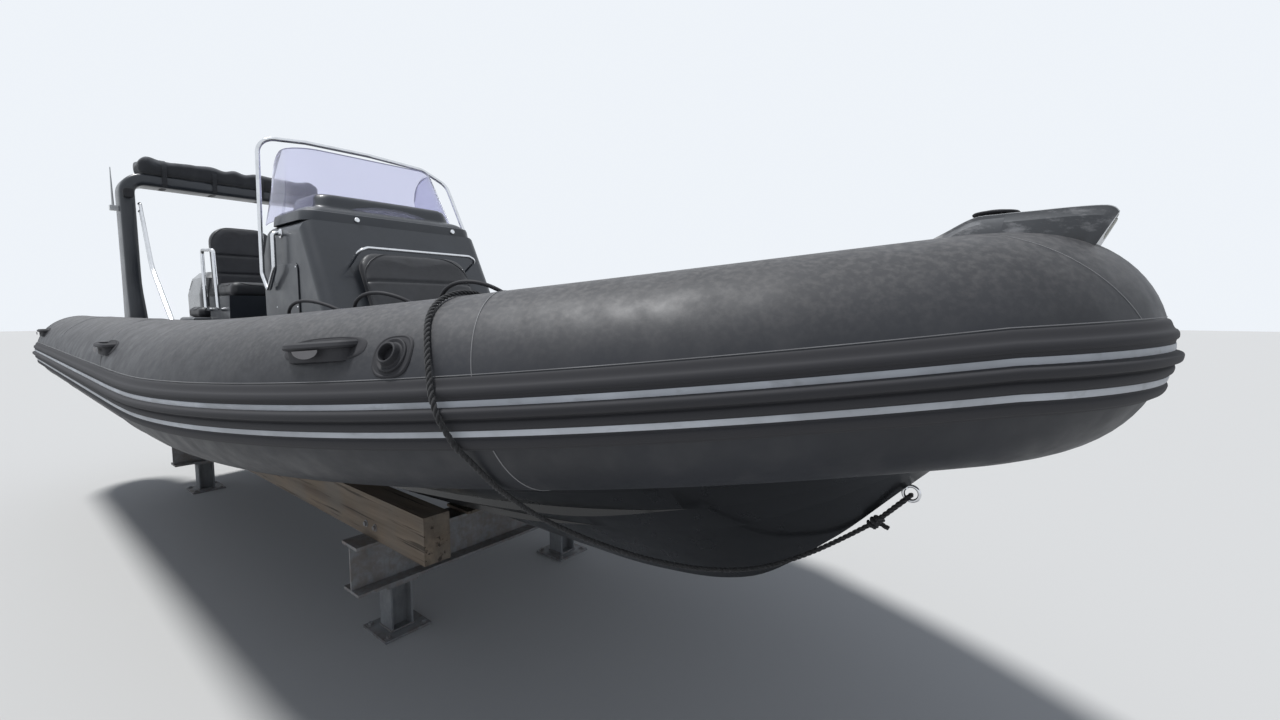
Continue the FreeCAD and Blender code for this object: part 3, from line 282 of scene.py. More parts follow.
class Draft:
    """Vertices and faces of one piece, gathered in the boat's own frame."""

    def __init__(self) -> None:
        """Start with nothing drawn."""
        self.points: Row = []
        self.faces: list[Face] = []

    def add(self, points: Row, faces: Sequence[Face]) -> "Draft":
        """Take in points, and faces among them.

        Args:
            points: New points.
            faces: Faces, by their numbers in the new points.

        Returns:
            This draft.
        """
        start = len(self.points)
        self.points += points
        self.faces += [tuple(start + i for i in face) for face in faces]
        return self

    def grid(self, rows: Sequence[Row], ends: bool = True, loop: bool = False) -> "Draft":
        """Skin a series of closed rows with quads.

        Args:
            rows: Rows with the same number of points.
            ends: Whether the first and last rows are filled.
            loop: Whether the last row joins the first.

        Returns:
            This draft.
        """
        width, faces = len(rows[0]), []
        for i in range(len(rows) if loop else len(rows) - 1):
            low, high = i * width, ((i + 1) % len(rows)) * width
            for j in range(width):
                k = (j + 1) % width
                faces.append((low + j, low + k, high + k, high + j))
        if ends and not loop:
            top = (len(rows) - 1) * width
            faces += [tuple(range(width - 1, -1, -1)), tuple(range(top, top + width))]
        return self.add([point for row in rows for point in row], faces)

    def sweep(self, path: Row, radius: float, sides: int = 14, loop: bool = False) -> "Draft":
        """Round bar along a path.

        Args:
            path: Points along its middle.
            radius: Its radius.
            sides: Faces round the bar.
            loop: Whether the path closes on itself.

        Returns:
            This draft.
        """
        ways = carried(path, crosswise, loop)
        rows = [ring(point, normal, across, radius, sides) for point, (normal, across) in zip(path, ways)]
        return self.grid(rows, ends=not loop, loop=loop)

    def lathe(self, origin: Vector, axis: Vector, profile: Table, sides: int = 32) -> "Draft":
        """Turned form about an axis.

        Args:
            origin: Where the axis starts.
            axis: Its direction.
            profile: Pairs of distance along the axis and radius there.
            sides: Faces round the form.

        Returns:
            This draft.
        """
        axis = axis.normalized()
        normal = crosswise(axis)
        across = axis.cross(normal)
        return self.grid([ring(origin + axis * along, normal, across, max(size, 1e-5), sides)
                          for along, size in profile])

    def slab(self, outline: Row, along: Vector) -> "Draft":
        """Plate from a closed outline pushed along a vector."""
        return self.grid([outline, [p + along for p in outline]])

    def both_sides(self) -> "Draft":
        """Add the mirror image of everything drawn so far."""
        return self.add(flipped(self.points), [face[::-1] for face in self.faces])


def wired(tree: Tree, kind: str, inputs: dict[str | int, Value], **settings: str) -> bpy.types.Node:
    """Add a shader node to a tree.

    Args:
        tree: The tree.
        kind: The node's kind, without the word that all shader nodes share.
        inputs: Values for its inputs, or sockets to link to them, by name or number.
        settings: Its own settings.

    Returns:
        The node.
    """
    node = tree.nodes.new("ShaderNode" + kind)
    for name, value in settings.items():
        setattr(node, name, value)
    fill(tree, node, inputs)
    return node


def fill(tree: Tree, node: bpy.types.Node, inputs: dict[str | int, Value]) -> None:
    """Set inputs of a node.

    Args:
        tree: The node's tree.
        node: The node.
        inputs: Values for its inputs, or sockets to link to them, by name or number.
    """
    for name, value in inputs.items():
        socket = node.inputs[name]
        if isinstance(value, Socket):
            tree.links.new(value, socket)
        else:
            socket.default_value = (*value, 1.0) if socket.type == "RGBA" else value


class Sketch:
    """Short hand for the node tree of one material."""

    def __init__(self, name: str) -> None:
        """Start a material with its surface shader.

        Args:
            name: The material's name.
        """
        self.material = bpy.data.materials.new(name)
        self.material.use_nodes = True
        self.tree = self.material.node_tree
        self.shader = self.tree.nodes["Principled BSDF"]
        self.place = self.tree.nodes.new("ShaderNodeTexCoord").outputs["Object"]
        self.relief: dict[str, Socket] = {}

    def set(self, **inputs: Value) -> None:
        """Set inputs of the surface shader by name, with underscores for spaces."""
        fill(self.tree, self.shader, {name.replace("_", " "): value for name, value in inputs.items()})

    def at(self, stretch: Point | None) -> Socket:
        """Object coordinates, stretched along their axes where asked."""
        place = {"Vector": self.place, "Scale": stretch}
        return wired(self.tree, "Mapping", place).outputs["Vector"] if stretch else self.place

    def noise(self, scale: float, detail: float = 4.0, stretch: Point | None = None,
              rough: float = 0.55, warp: float = 0.0) -> Socket:
        """Cloudy pattern from 0 to 1, by its scale, layers, stretch, roughness and warp."""
        return wired(self.tree, "TexNoise", {"Scale": scale, "Detail": detail, "Roughness": rough,
                                             "Distortion": warp, "Vector": self.at(stretch)}).outputs["Fac"]

    def clouds(self, scale: float, detail: float, low: float, high: float, to_low: float = 0.0,
               to_high: float = 1.0, stretch: Point | None = None, rough: float = 0.55) -> Socket:
        """Cloudy pattern with the range from low to high drawn out to another."""
        return self.spread(self.noise(scale, detail, stretch, rough), low, high, to_low, to_high)

    def cells(self, scale: float, feature: str = "F1", stretch: Point | None = None) -> Socket:
        """Cell pattern, as the distance from each cell's middle."""
        return wired(self.tree, "TexVoronoi", {"Scale": scale, "Vector": self.at(stretch)},
                     feature=feature).outputs["Distance"]

    def waves(self, scale: float, axis: str) -> Socket:
        """Straight bands across one axis."""
        return wired(self.tree, "TexWave", {"Scale": scale, "Distortion": 0.0, "Detail": 2.0,
                                            "Vector": self.place}, bands_direction=axis).outputs["Fac"]

    def spread(self, pattern: Socket, low: float, high: float, to_low: float = 0.0,
               to_high: float = 1.0) -> Socket:
        """Map a range of one pattern to another range."""
        return wired(self.tree, "MapRange", {"Value": pattern, "From Min": low, "From Max": high,
                                             "To Min": to_low, "To Max": to_high}).outputs["Result"]

    def times(self, a: Socket, b: Socket | float) -> Socket:
        """Product of two patterns."""
        return wired(self.tree, "Math", {0: a, 1: b}, operation="MULTIPLY").outputs["Value"]

    def facing_up(self, low: float, high: float) -> Socket:
        """Pattern that rises where the surface faces the sky."""
        normal = wired(self.tree, "NewGeometry", {}).outputs["Normal"]
        return self.spread(wired(self.tree, "SeparateXYZ", {"Vector": normal}).outputs["Z"], low, high)

    def edges(self, low: float, high: float) -> Socket:
        """Pattern that rises on outer corners, where a finish wears."""
        return self.spread(wired(self.tree, "NewGeometry", {}).outputs["Pointiness"], low, high)

    def mix(self, factor: Socket, a: Colour | Socket, b: Colour | Socket) -> Socket:
        """Blend of two colours by a pattern."""
        return wired(self.tree, "Mix", {"Factor": factor, 6: a, 7: b}, data_type="RGBA").outputs[2]

    def bump(self, height: Socket, depth: float, strength: float) -> None:
        """Add relief on top of the relief so far.

        Args:
            height: Pattern of the relief.
            depth: Its depth in metres.
            strength: Share of it that shows.
        """
        inputs = {"Distance": depth, "Strength": strength, "Height": height, **self.relief}
        self.relief = {"Normal": wired(self.tree, "Bump", inputs).outputs["Normal"]}
        self.set(**self.relief)


@dataclass(frozen=True)
class Finish:
    """A surface finish, with the material slot that it belongs to, if the record has one."""

    name: str
    slot: str
    colour: Colour
    roughness: float = 0.5

    def toned(self, factor: float, lift: float = 0.0) -> Colour:
        """The finish's colour, darker or paler."""
        return tuple(c * factor + lift for c in self.colour)

    def material(self) -> bpy.types.Material:
        """Find the finish's material, or make it on its first use.

        Returns:
            The material.
        """
        made = bpy.data.materials.get(self.name)
        if made is None:
            sketch = Sketch(self.name)
            sketch.set(Base_Color=self.colour, Roughness=self.roughness)
            self.paint(sketch)
            made = sketch.material
        return made

    def paint(self, sketch: Sketch) -> None:
        """Add the finish's own patterns."""


@dataclass(frozen=True)
class CoatedFabric(Finish):
    """Rubber coated cloth of the tubes, dusty on top, with faint streaks and weave."""

    dust: Colour = (0.200, 0.192, 0.188)
    dust_share: float = 0.50

    def paint(self, sketch: Sketch) -> None:
        """Paint weave, cloudy wear, dust on the upper side and downward streaks.

        Args:
            sketch: The material.
        """
        base = sketch.mix(sketch.clouds(1.9, 6.0, 0.38, 0.66), self.colour, self.toned(0.72))
        streaks = sketch.clouds(7.0, 5.0, 0.50, 0.74, stretch=(1.0, 1.0, 0.12))
        speckle = sketch.clouds(60.0, 5.0, 0.42, 0.68, 0.35)
        dusty = sketch.times(sketch.times(sketch.facing_up(0.22, 1.0), speckle), self.dust_share)
        dusted = sketch.mix(dusty, base, self.dust)
        sketch.set(
            Base_Color=sketch.mix(sketch.times(streaks, 0.10), dusted, self.dust),
            Roughness=sketch.clouds(14.0, 4.0, 0.3, 0.7, self.roughness - 0.07, self.roughness + 0.09),
            Specular_IOR_Level=0.42)
        sketch.bump(sketch.noise(5.0, 3.0), 0.0022, 0.35)
        sketch.bump(sketch.cells(620.0), 0.0002, 0.35)


@dataclass(frozen=True)
class Rubber(Finish):
    """Moulded rubber with scuffs along its ribs."""

    scuff: Colour = (0.14, 0.14, 0.145)

    def paint(self, sketch: Sketch) -> None:
        """Paint scuffed lines and a fine skin.

        Args:
            sketch: The material.
        """
        scratches = sketch.clouds(26.0, 6.0, 0.55, 0.74, 0.0, 0.55, stretch=(0.16, 1.0, 1.0))
        base = sketch.mix(sketch.clouds(3.5, 5.0, 0.4, 0.7), self.colour, self.toned(1.5))
        sketch.set(
            Base_Color=sketch.mix(scratches, base, self.scuff),
            Roughness=sketch.clouds(18.0, 4.0, 0.3, 0.7, self.roughness - 0.1, self.roughness + 0.1))
        sketch.bump(sketch.noise(160.0, 2.0), 0.0004, 0.3)


@dataclass(frozen=True)
class Gelcoat(Finish):
    """Polished or satin mouldings, with dust and chalky scuffs."""

    coat: float = 0.6
    scuff: Colour = (0.34, 0.34, 0.35)
    scuff_share: float = 0.0
    dust: Colour = (0.20, 0.20, 0.205)
    dust_share: float = 0.25

    def paint(self, sketch: Sketch) -> None:
        """Paint clear coat, dust on top, chalky scuffs and a slight ripple.

        Args:
            sketch: The material.
        """
        base = sketch.mix(sketch.clouds(2.6, 5.0, 0.35, 0.7), self.colour, self.toned(1.35, 0.002))
        grains = sketch.clouds(38.0, 6.0, 0.35, 0.7, 0.1, self.dust_share)
        surface = sketch.mix(sketch.times(sketch.facing_up(0.4, 1.0), grains), base, self.dust)
        if self.scuff_share > 0.0:
            marks = sketch.clouds(9.0, 8.0, 0.53, 0.68, 0.0, self.scuff_share, (1.0, 1.0, 2.2), 0.72)
            surface = sketch.mix(marks, surface, self.scuff)
        sketch.set(
            Base_Color=surface, Coat_Weight=self.coat, Coat_Roughness=0.08,
            Roughness=sketch.clouds(8.0, 6.0, 0.3, 0.75, self.roughness, self.roughness + 0.16))
        sketch.bump(sketch.noise(22.0, 2.0), 0.0006, 0.25)


@dataclass(frozen=True)
class Vinyl(Finish):
    """Grained upholstery vinyl."""

    def paint(self, sketch: Sketch) -> None:
        """Paint leather grain, soft creases and worn highlights.

        Args:
            sketch: The material.
        """
        wear = sketch.clouds(6.0, 5.0, 0.45, 0.75, 0.0, 0.6)
        sketch.set(
            Base_Color=sketch.mix(wear, self.colour, self.toned(1.8, 0.004)),
            Roughness=sketch.clouds(30.0, 4.0, 0.3, 0.7, self.roughness - 0.06, self.roughness + 0.12),
            Sheen_Weight=0.12, Sheen_Roughness=0.5)
        sketch.bump(sketch.noise(11.0, 3.0), 0.0025, 0.3)
        sketch.bump(sketch.cells(330.0, "SMOOTH_F1"), 0.0005, 0.45)


@dataclass(frozen=True)
class Metal(Finish):
    """Bare polished or brushed metal with water marks."""

    smear: float = 0.14

    def paint(self, sketch: Sketch) -> None:
        """Paint water marks and a fine drawn grain.

        Args:
            sketch: The material.
        """
        marks = sketch.clouds(24.0, 5.0, 0.45, 0.75, 0.0, 0.5)
        sketch.set(
            Metallic=1.0, Base_Color=sketch.mix(marks, self.colour, self.toned(0.72)),
            Roughness=sketch.clouds(42.0, 5.0, 0.35, 0.7, self.roughness, self.roughness + self.smear))
        sketch.bump(sketch.noise(240.0, 2.0), 0.0001, 0.2)


@dataclass(frozen=True)
class WeatheredSteel(Finish):
    """Grey painted beam, chalky, with rust at its edges and in patches."""

    rust: Colour = (0.15, 0.085, 0.05)
    dirt: Colour = (0.12, 0.11, 0.10)

    def paint(self, sketch: Sketch) -> None:
        """Paint chalked paint, dirt runs, rust patches and mill marks.

        Args:
            sketch: The material.
        """
        chalk = sketch.mix(sketch.clouds(5.0, 8.0, 0.3, 0.7), self.colour, self.toned(0.62))
        runs = sketch.clouds(18.0, 6.0, 0.5, 0.8, 0.0, 0.5, stretch=(1.0, 1.0, 0.15))
        patches = sketch.clouds(11.0, 9.0, 0.64, 0.74, rough=0.7)
        rims = sketch.times(sketch.edges(0.515, 0.56), sketch.clouds(30.0, 4.0, 0.35, 0.6))
        patched = sketch.mix(sketch.times(patches, 0.45), sketch.mix(runs, chalk, self.dirt), self.rust)
        sketch.set(
            Base_Color=sketch.mix(sketch.times(rims, 0.35), patched, self.rust),
            Roughness=sketch.clouds(40.0, 5.0, 0.3, 0.7, 0.55, 0.85))
        sketch.bump(sketch.noise(70.0, 6.0), 0.0012, 0.35)


@dataclass(frozen=True)
class Timber(Finish):
    """Weathered softwood baulk, its grain along X."""

    dark: Colour = (0.10, 0.075, 0.055)
    silvered: Colour = (0.17, 0.16, 0.145)
    crack: Colour = (0.03, 0.025, 0.02)

    def paint(self, sketch: Sketch) -> None:
        """Paint year rings drawn out along the baulk, cracks, stains and a silvered skin.

        Args:
            sketch: The material.
        """
        grain = sketch.noise(16.0, 8.0, stretch=(0.05, 1.0, 1.0), rough=0.62, warp=0.35)
        tone = sketch.mix(sketch.spread(grain, 0.3, 0.7), self.dark, self.colour)
        grey = sketch.mix(sketch.clouds(3.2, 6.0, 0.45, 0.7, 0.0, 0.6), tone, self.silvered)
        cracks = sketch.clouds(34.0, 5.0, 0.36, 0.42, 1.0, 0.0, stretch=(0.03, 1.0, 1.0))
        sketch.set(Base_Color=sketch.mix(sketch.times(cracks, 0.8), grey, self.crack), Roughness=0.85)
        sketch.bump(grain, 0.004, 0.5)
        sketch.bump(cracks, 0.003, 0.5)


@dataclass(frozen=True)
class Canvas(Finish):
    """Woven acrylic cloth with folds and faded crests."""

    faded: Colour = (0.16, 0.17, 0.19)

    def paint(self, sketch: Sketch) -> None:
        """Paint weave, faded folds and dust.

        Args:
            sketch: The material.
        """
        fade = sketch.times(sketch.facing_up(0.0, 1.0), sketch.clouds(7.0, 6.0, 0.35, 0.7, 0.2, 0.8))
        sketch.set(Base_Color=sketch.mix(fade, self.colour, self.faded), Roughness=0.92,
                   Sheen_Weight=0.2, Sheen_Roughness=0.6)
        sketch.bump(sketch.noise(9.0, 5.0, stretch=(1.0, 0.35, 1.0)), 0.012, 0.35)
        sketch.bump(sketch.waves(420.0, "X"), 0.0003, 0.35)
        sketch.bump(sketch.waves(420.0, "Y"), 0.0003, 0.35)


@dataclass(frozen=True)
class TintedScreen(Finish):
    """Lilac tinted clear sheet."""

    def paint(self, sketch: Sketch) -> None:
        """See-through tint with a dusty film."""
        film = sketch.clouds(5.0, 5.0, 0.35, 0.75, 0.01, self.roughness)
        sketch.set(Transmission_Weight=0.86, IOR=1.2, Alpha=1.0, Roughness=film)


@dataclass(frozen=True)
class NonSlip(Finish):
    """Deck sole with a moulded diamond tread."""

    def paint(self, sketch: Sketch) -> None:
        """Paint diamond tread and trodden dirt.

        Args:
            sketch: The material.
        """
        dirt = sketch.mix(sketch.clouds(3.0, 7.0, 0.4, 0.72), self.colour, self.toned(0.55))
        sketch.set(Base_Color=dirt, Roughness=0.7)
        sketch.bump(sketch.cells(90.0, "F1", (1.0, 1.6, 1.0)), 0.002, 0.8)


@dataclass(frozen=True)
class Moulded(Finish):
    """Fine grained plastic, lamp lenses and dials."""

    grain: float = 0.25
    dust: Colour = (0.25, 0.25, 0.25)

    def paint(self, sketch: Sketch) -> None:
        """Paint fine spark grain and a little dust.

        Args:
            sketch: The material.
        """
        dusty = sketch.times(sketch.facing_up(0.3, 1.0), 0.16)
        sketch.set(
            Base_Color=sketch.mix(dusty, self.colour, self.dust),
            Roughness=sketch.clouds(50.0, 3.0, 0.3, 0.7, self.roughness - 0.05, self.roughness + 0.08))
        sketch.bump(sketch.noise(420.0, 2.0), 0.0003, self.grain)


@dataclass(frozen=True)
class Fibre(Finish):
    """Laid rope yarn."""

    def paint(self, sketch: Sketch) -> None:
        """Paint fuzzy yarns with faded high spots.

        Args:
            sketch: The material.
        """
        fade = sketch.clouds(130.0, 5.0, 0.4, 0.7, 0.0, 0.7)
        sketch.set(Base_Color=sketch.mix(fade, self.colour, self.toned(3.2, 0.01)), Roughness=0.85,
                   Sheen_Weight=0.15)
        sketch.bump(sketch.noise(600.0, 3.0), 0.0008, 0.5)


TUBE_CLOTH = CoatedFabric("tube_cloth", "tube_fabric", (0.024, 0.026, 0.032), 0.52)
SEAM_EDGE = Rubber("seam_edge", "tube_fabric", (0.17, 0.17, 0.175), 0.6, scuff=(0.30, 0.30, 0.30))
STRAKE = Rubber("strake_rubber", "strake_rubber", (0.013, 0.014, 0.018), 0.42, scuff=(0.09, 0.09, 0.10))
STRIPE = Rubber("stripe_inlay", "stripe", (0.40, 0.42, 0.45), 0.5, scuff=(0.24, 0.25, 0.26))
HULL_GLOSS = Gelcoat("hull_gelcoat", "hull_black", (0.0035, 0.004, 0.005), 0.24, coat=0.3, dust_share=0.10)
MOULDING = Gelcoat("black_moulding", "moulding_black", (0.020, 0.024, 0.031), 0.34, coat=0.25)
NOSE_MOULDING = Gelcoat("scuffed_moulding", "moulding_black", (0.016, 0.018, 0.022), 0.30, coat=0.35,
                        scuff_share=0.5)
DECK_SOLE = NonSlip("deck_sole", "deck_grey", (0.10, 0.105, 0.11))
SEAT_VINYL = Vinyl("seat_vinyl", "vinyl", (0.018, 0.019, 0.023), 0.46)
STAINLESS = Metal("polished_tube", "stainless", (0.74, 0.75, 0.77), 0.12)
PROP_STEEL = Metal("propeller_metal", "propeller_steel", (0.55, 0.56, 0.58), 0.25)
SCREEN_TINT = TintedScreen("screen_tint", "screen", (0.78, 0.78, 0.93), 0.08)
AWNING = Canvas("awning_cloth", "awning_fabric", (0.035, 0.037, 0.042))
ENGINE_PAINT = Gelcoat("engine_enamel", "engine_paint", (0.016, 0.017, 0.020), 0.2, coat=0.7)
PLASTIC = Moulded("black_plastic", "black_plastic", (0.020, 0.021, 0.023), 0.48)
DIAL_FACE = Moulded("dial_face", "black_plastic", (0.55, 0.56, 0.56), 0.35, grain=0.05)
ROPE_FIBRE = Fibre("rope_fibre", "", (0.012, 0.012, 0.013), 0.85)
SCREEN_EDGE = Moulded("screen_edge", "screen", (0.36, 0.36, 0.52), 0.2, grain=0.0)
CHANNEL_FACE = Moulded("channel_face", "", (0.42, 0.42, 0.38), 0.5)
# Painted light: this pale grey stands in for light seen through the handles' slots, not for a grey part.
SLOT_PAINTED_LIGHT = Moulded("painted_slot_light", "", (0.16, 0.155, 0.16), 0.6)
LENS_GREEN = Moulded("green_lens", "", (0.02, 0.16, 0.09), 0.12, grain=0.0)
WHIP_WHITE = Moulded("white_plastic", "aerial_white", (0.70, 0.71, 0.71), 0.4, grain=0.1)
BEAM_STEEL = WeatheredSteel("beam_steel", "cradle_steel", (0.33, 0.34, 0.35))
BAULK = Timber("baulk_timber", "timber", (0.27, 0.215, 0.16))


def placed(name: str, data: bpy.types.ID) -> Piece:
    """Put new data into the scene.

    Args:
        name: The object's name.
        data: Its mesh, light or camera.

    Returns:
        The object.
    """
    piece = bpy.data.objects.new(name, data)
    bpy.context.scene.collection.objects.link(piece)
    return piece


class Workshop:
    """Turns drafts into dressed pieces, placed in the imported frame."""

    def make(self, name: str, draft: Draft, finish: Finish, body: Body = Body.BOAT,
             replaces: Sequence[str] = (), bevel: float = 0.0, sharp: float = 35.0) -> Piece:
        """Make one piece of the boat.

        Args:
            name: The piece's name.
            draft: Its shape.
            finish: Its surface.
            body: What it rides on.
            replaces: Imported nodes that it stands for.
            bevel: Width of the rounding on its sharp edges.
            sharp: Angle in degrees past which an edge stays sharp.

        Returns:
            The finished object.
        """
        mesh = bpy.data.meshes.new(name)
        mesh.from_pydata([(p.x - ORIGIN_X, p.y, p.z) for p in draft.points], [], draft.faces)
        self.tidy_faces(mesh)
        mesh.shade_smooth()
        mesh.set_sharp_from_angle(angle=math.radians(sharp))
        piece = placed(name, mesh)
        self.coat(piece, finish, bevel, sharp)
        if replaces:
            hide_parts(*replaces)
        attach(piece, body.value)
        LOG.info("%s rides on %s", name, body.value)
        return piece

    @staticmethod
    def tidy_faces(mesh: bpy.types.Mesh) -> None:
        """Merge doubled points and turn every face outwards.

        Args:
            mesh: The mesh.
        """
        mesh.validate()
        form = bmesh.new()
        form.from_mesh(mesh)
        bmesh.ops.remove_doubles(form, verts=form.verts, dist=1e-6)
        bmesh.ops.recalc_face_normals(form, faces=form.faces)
        form.to_mesh(mesh)
        form.free()

    @staticmethod
    def coat(piece: Piece, finish: Finish, bevel: float, sharp: float = 35.0) -> None:
        """Give a piece its finish, and round its sharp edges.

        Args:
            piece: The piece.
            finish: Its surface.
            bevel: Width of the rounding, or 0 for none.
            sharp: Angle in degrees past which an edge is rounded.
        """
        piece.data.materials.clear()
        piece.data.materials.append(finish.material())
        if bevel > 0.0:
            modifier = piece.modifiers.new("edges", "BEVEL")
            modifier.width = bevel
            modifier.segments = 3
            modifier.limit_method = "ANGLE"
            modifier.angle_limit = math.radians(sharp)
            modifier.harden_normals = True


@dataclass(frozen=True)
class Collar:
    """The middle line of the tubes: straight sides, swept shoulders and a blunt round bow."""

    radius: float = 0.280
    bow_radius: float = 0.266
    length: float = 6.950
    half_beam: float = 1.050
    height: float = 1.228
    bow_rise: float = 0.243
    rise_start: float = 3.760
    taper_start: float = 4.050
    sweep_radius: float = 4.664
    turn: float = math.radians(34.2)
    cone: float = 0.430
    cone_end: float = 0.095
    side_step: float = 0.05
    bow_step: float = 0.013
    cone_step: float = 0.03

    @property
    def nose_arc(self) -> float:
        """Radius of the round bow in plan."""
        inward = self.sweep_radius * (1.0 - math.cos(self.turn))
        return (self.half_beam - inward) / math.cos(self.turn)

    @property
    def sweep_start(self) -> float:
        """Length at which the side begins to curve in."""
        swept = self.sweep_radius * math.sin(self.turn)
        return self.length - swept - self.nose_arc * (1.0 - math.sin(self.turn))

    @property
    def knee(self) -> float:
        """Length at which the swept side meets the round bow."""
        return self.sweep_start + self.sweep_radius * self.turn

    @property
    def half(self) -> float:
        """Length from the stern to the middle of the bow."""
        return self.knee + self.nose_arc * (math.pi / 2.0 - self.turn)

    @property
    def whole(self) -> float:
        """Length from the starboard stern round the bow to the port stern."""
        return 2.0 * self.half

    def from_stern(self, s: float) -> float:
        """Length to the nearer stern end."""
        return min(s, self.whole - s)

    def tube_radius(self, x: float) -> float:
        """Radius of the tube.

        Args:
            x: Station along the boat.

        Returns:
            The radius, without seams.
        """
        if x < self.cone:
            run = (self.cone - x) / self.cone
            return self.cone_end + (self.radius - self.cone_end) * (1.0 - run ** 2.2) ** 0.8
        run = max(0.0, x - self.taper_start) / (self.length - self.taper_start)
        return self.radius + (self.bow_radius - self.radius) * run ** 1.5

    def height_at(self, x: float) -> float:
        """Height of the middle line at a station."""
        run = max(0.0, x - self.rise_start) / (self.length - self.rise_start)
        return self.height + self.bow_rise * run * run

    def frame_at(self, s: float) -> tuple[Vector, Vector, Vector, float]:
        """Centre, outward and upward directions and radius at a length along the collar.

        Args:
            s: Length from the starboard stern; past the bow it goes on down the port side.

        Returns:
            The centre, the outward way, the upward way and the radius.
        """
        port = s > self.half
        run = self.whole - s if port else s
        heading = 0.0
        if run <= self.sweep_start:
            x, y = run, self.half_beam
        elif run <= self.knee:
            heading = (run - self.sweep_start) / self.sweep_radius
            x = self.sweep_start + self.sweep_radius * math.sin(heading)
            y = self.half_beam - self.sweep_radius * (1.0 - math.cos(heading))
        else:
            heading = self.turn + (run - self.knee) / self.nose_arc
            x = self.length - self.nose_arc + self.nose_arc * math.sin(heading)
            y = self.nose_arc * math.cos(heading)
        slope = 0.0
        if x > self.rise_start:
            slope = 2.0 * self.bow_rise * (x - self.rise_start) / (self.length - self.rise_start) ** 2
        tangent = Vector((math.cos(heading), math.sin(heading), slope * math.cos(heading))).normalized()
        side = Vector((math.sin(heading), -math.cos(heading), 0.0))
        up = side.cross(tangent).normalized()
        centre = Vector((x, -y, self.height_at(x)))
        if port:
            centre.y, side.y, up.y = -centre.y, -side.y, -up.y
        return centre, side, up, self.tube_radius(x)

    def outward(self, s: float, angle: float) -> Vector:
        """Direction straight out of the skin, at a length and an angle above the beam line."""
        (_, side, up, _), turn = self.frame_at(s), math.radians(angle)
        return side * math.cos(turn) + up * math.sin(turn)

    def point(self, s: float, angle: float, lift: float = 0.0) -> Vector:
        """Point on the skin, lifted off it."""
        centre, _, _, radius = self.frame_at(s)
        return centre + self.outward(s, angle) * (radius + lift)

    def stations(self, start: float, end: float) -> list[float]:
        """Lengths closer together round the bow and on the stern cones.

        Args:
            start: First length.
            end: Last length.

        Returns:
            The lengths, with both ends.
        """
        found = [start]
        while found[-1] < end - 1e-6:
            here = found[-1]
            step = self.bow_step if abs(here - self.half) < self.half - self.knee + 0.1 else self.side_step
            if self.from_stern(here) < self.cone:
                step = self.cone_step
            found.append(min(end, here + step))
        return found


COLLAR = Collar()


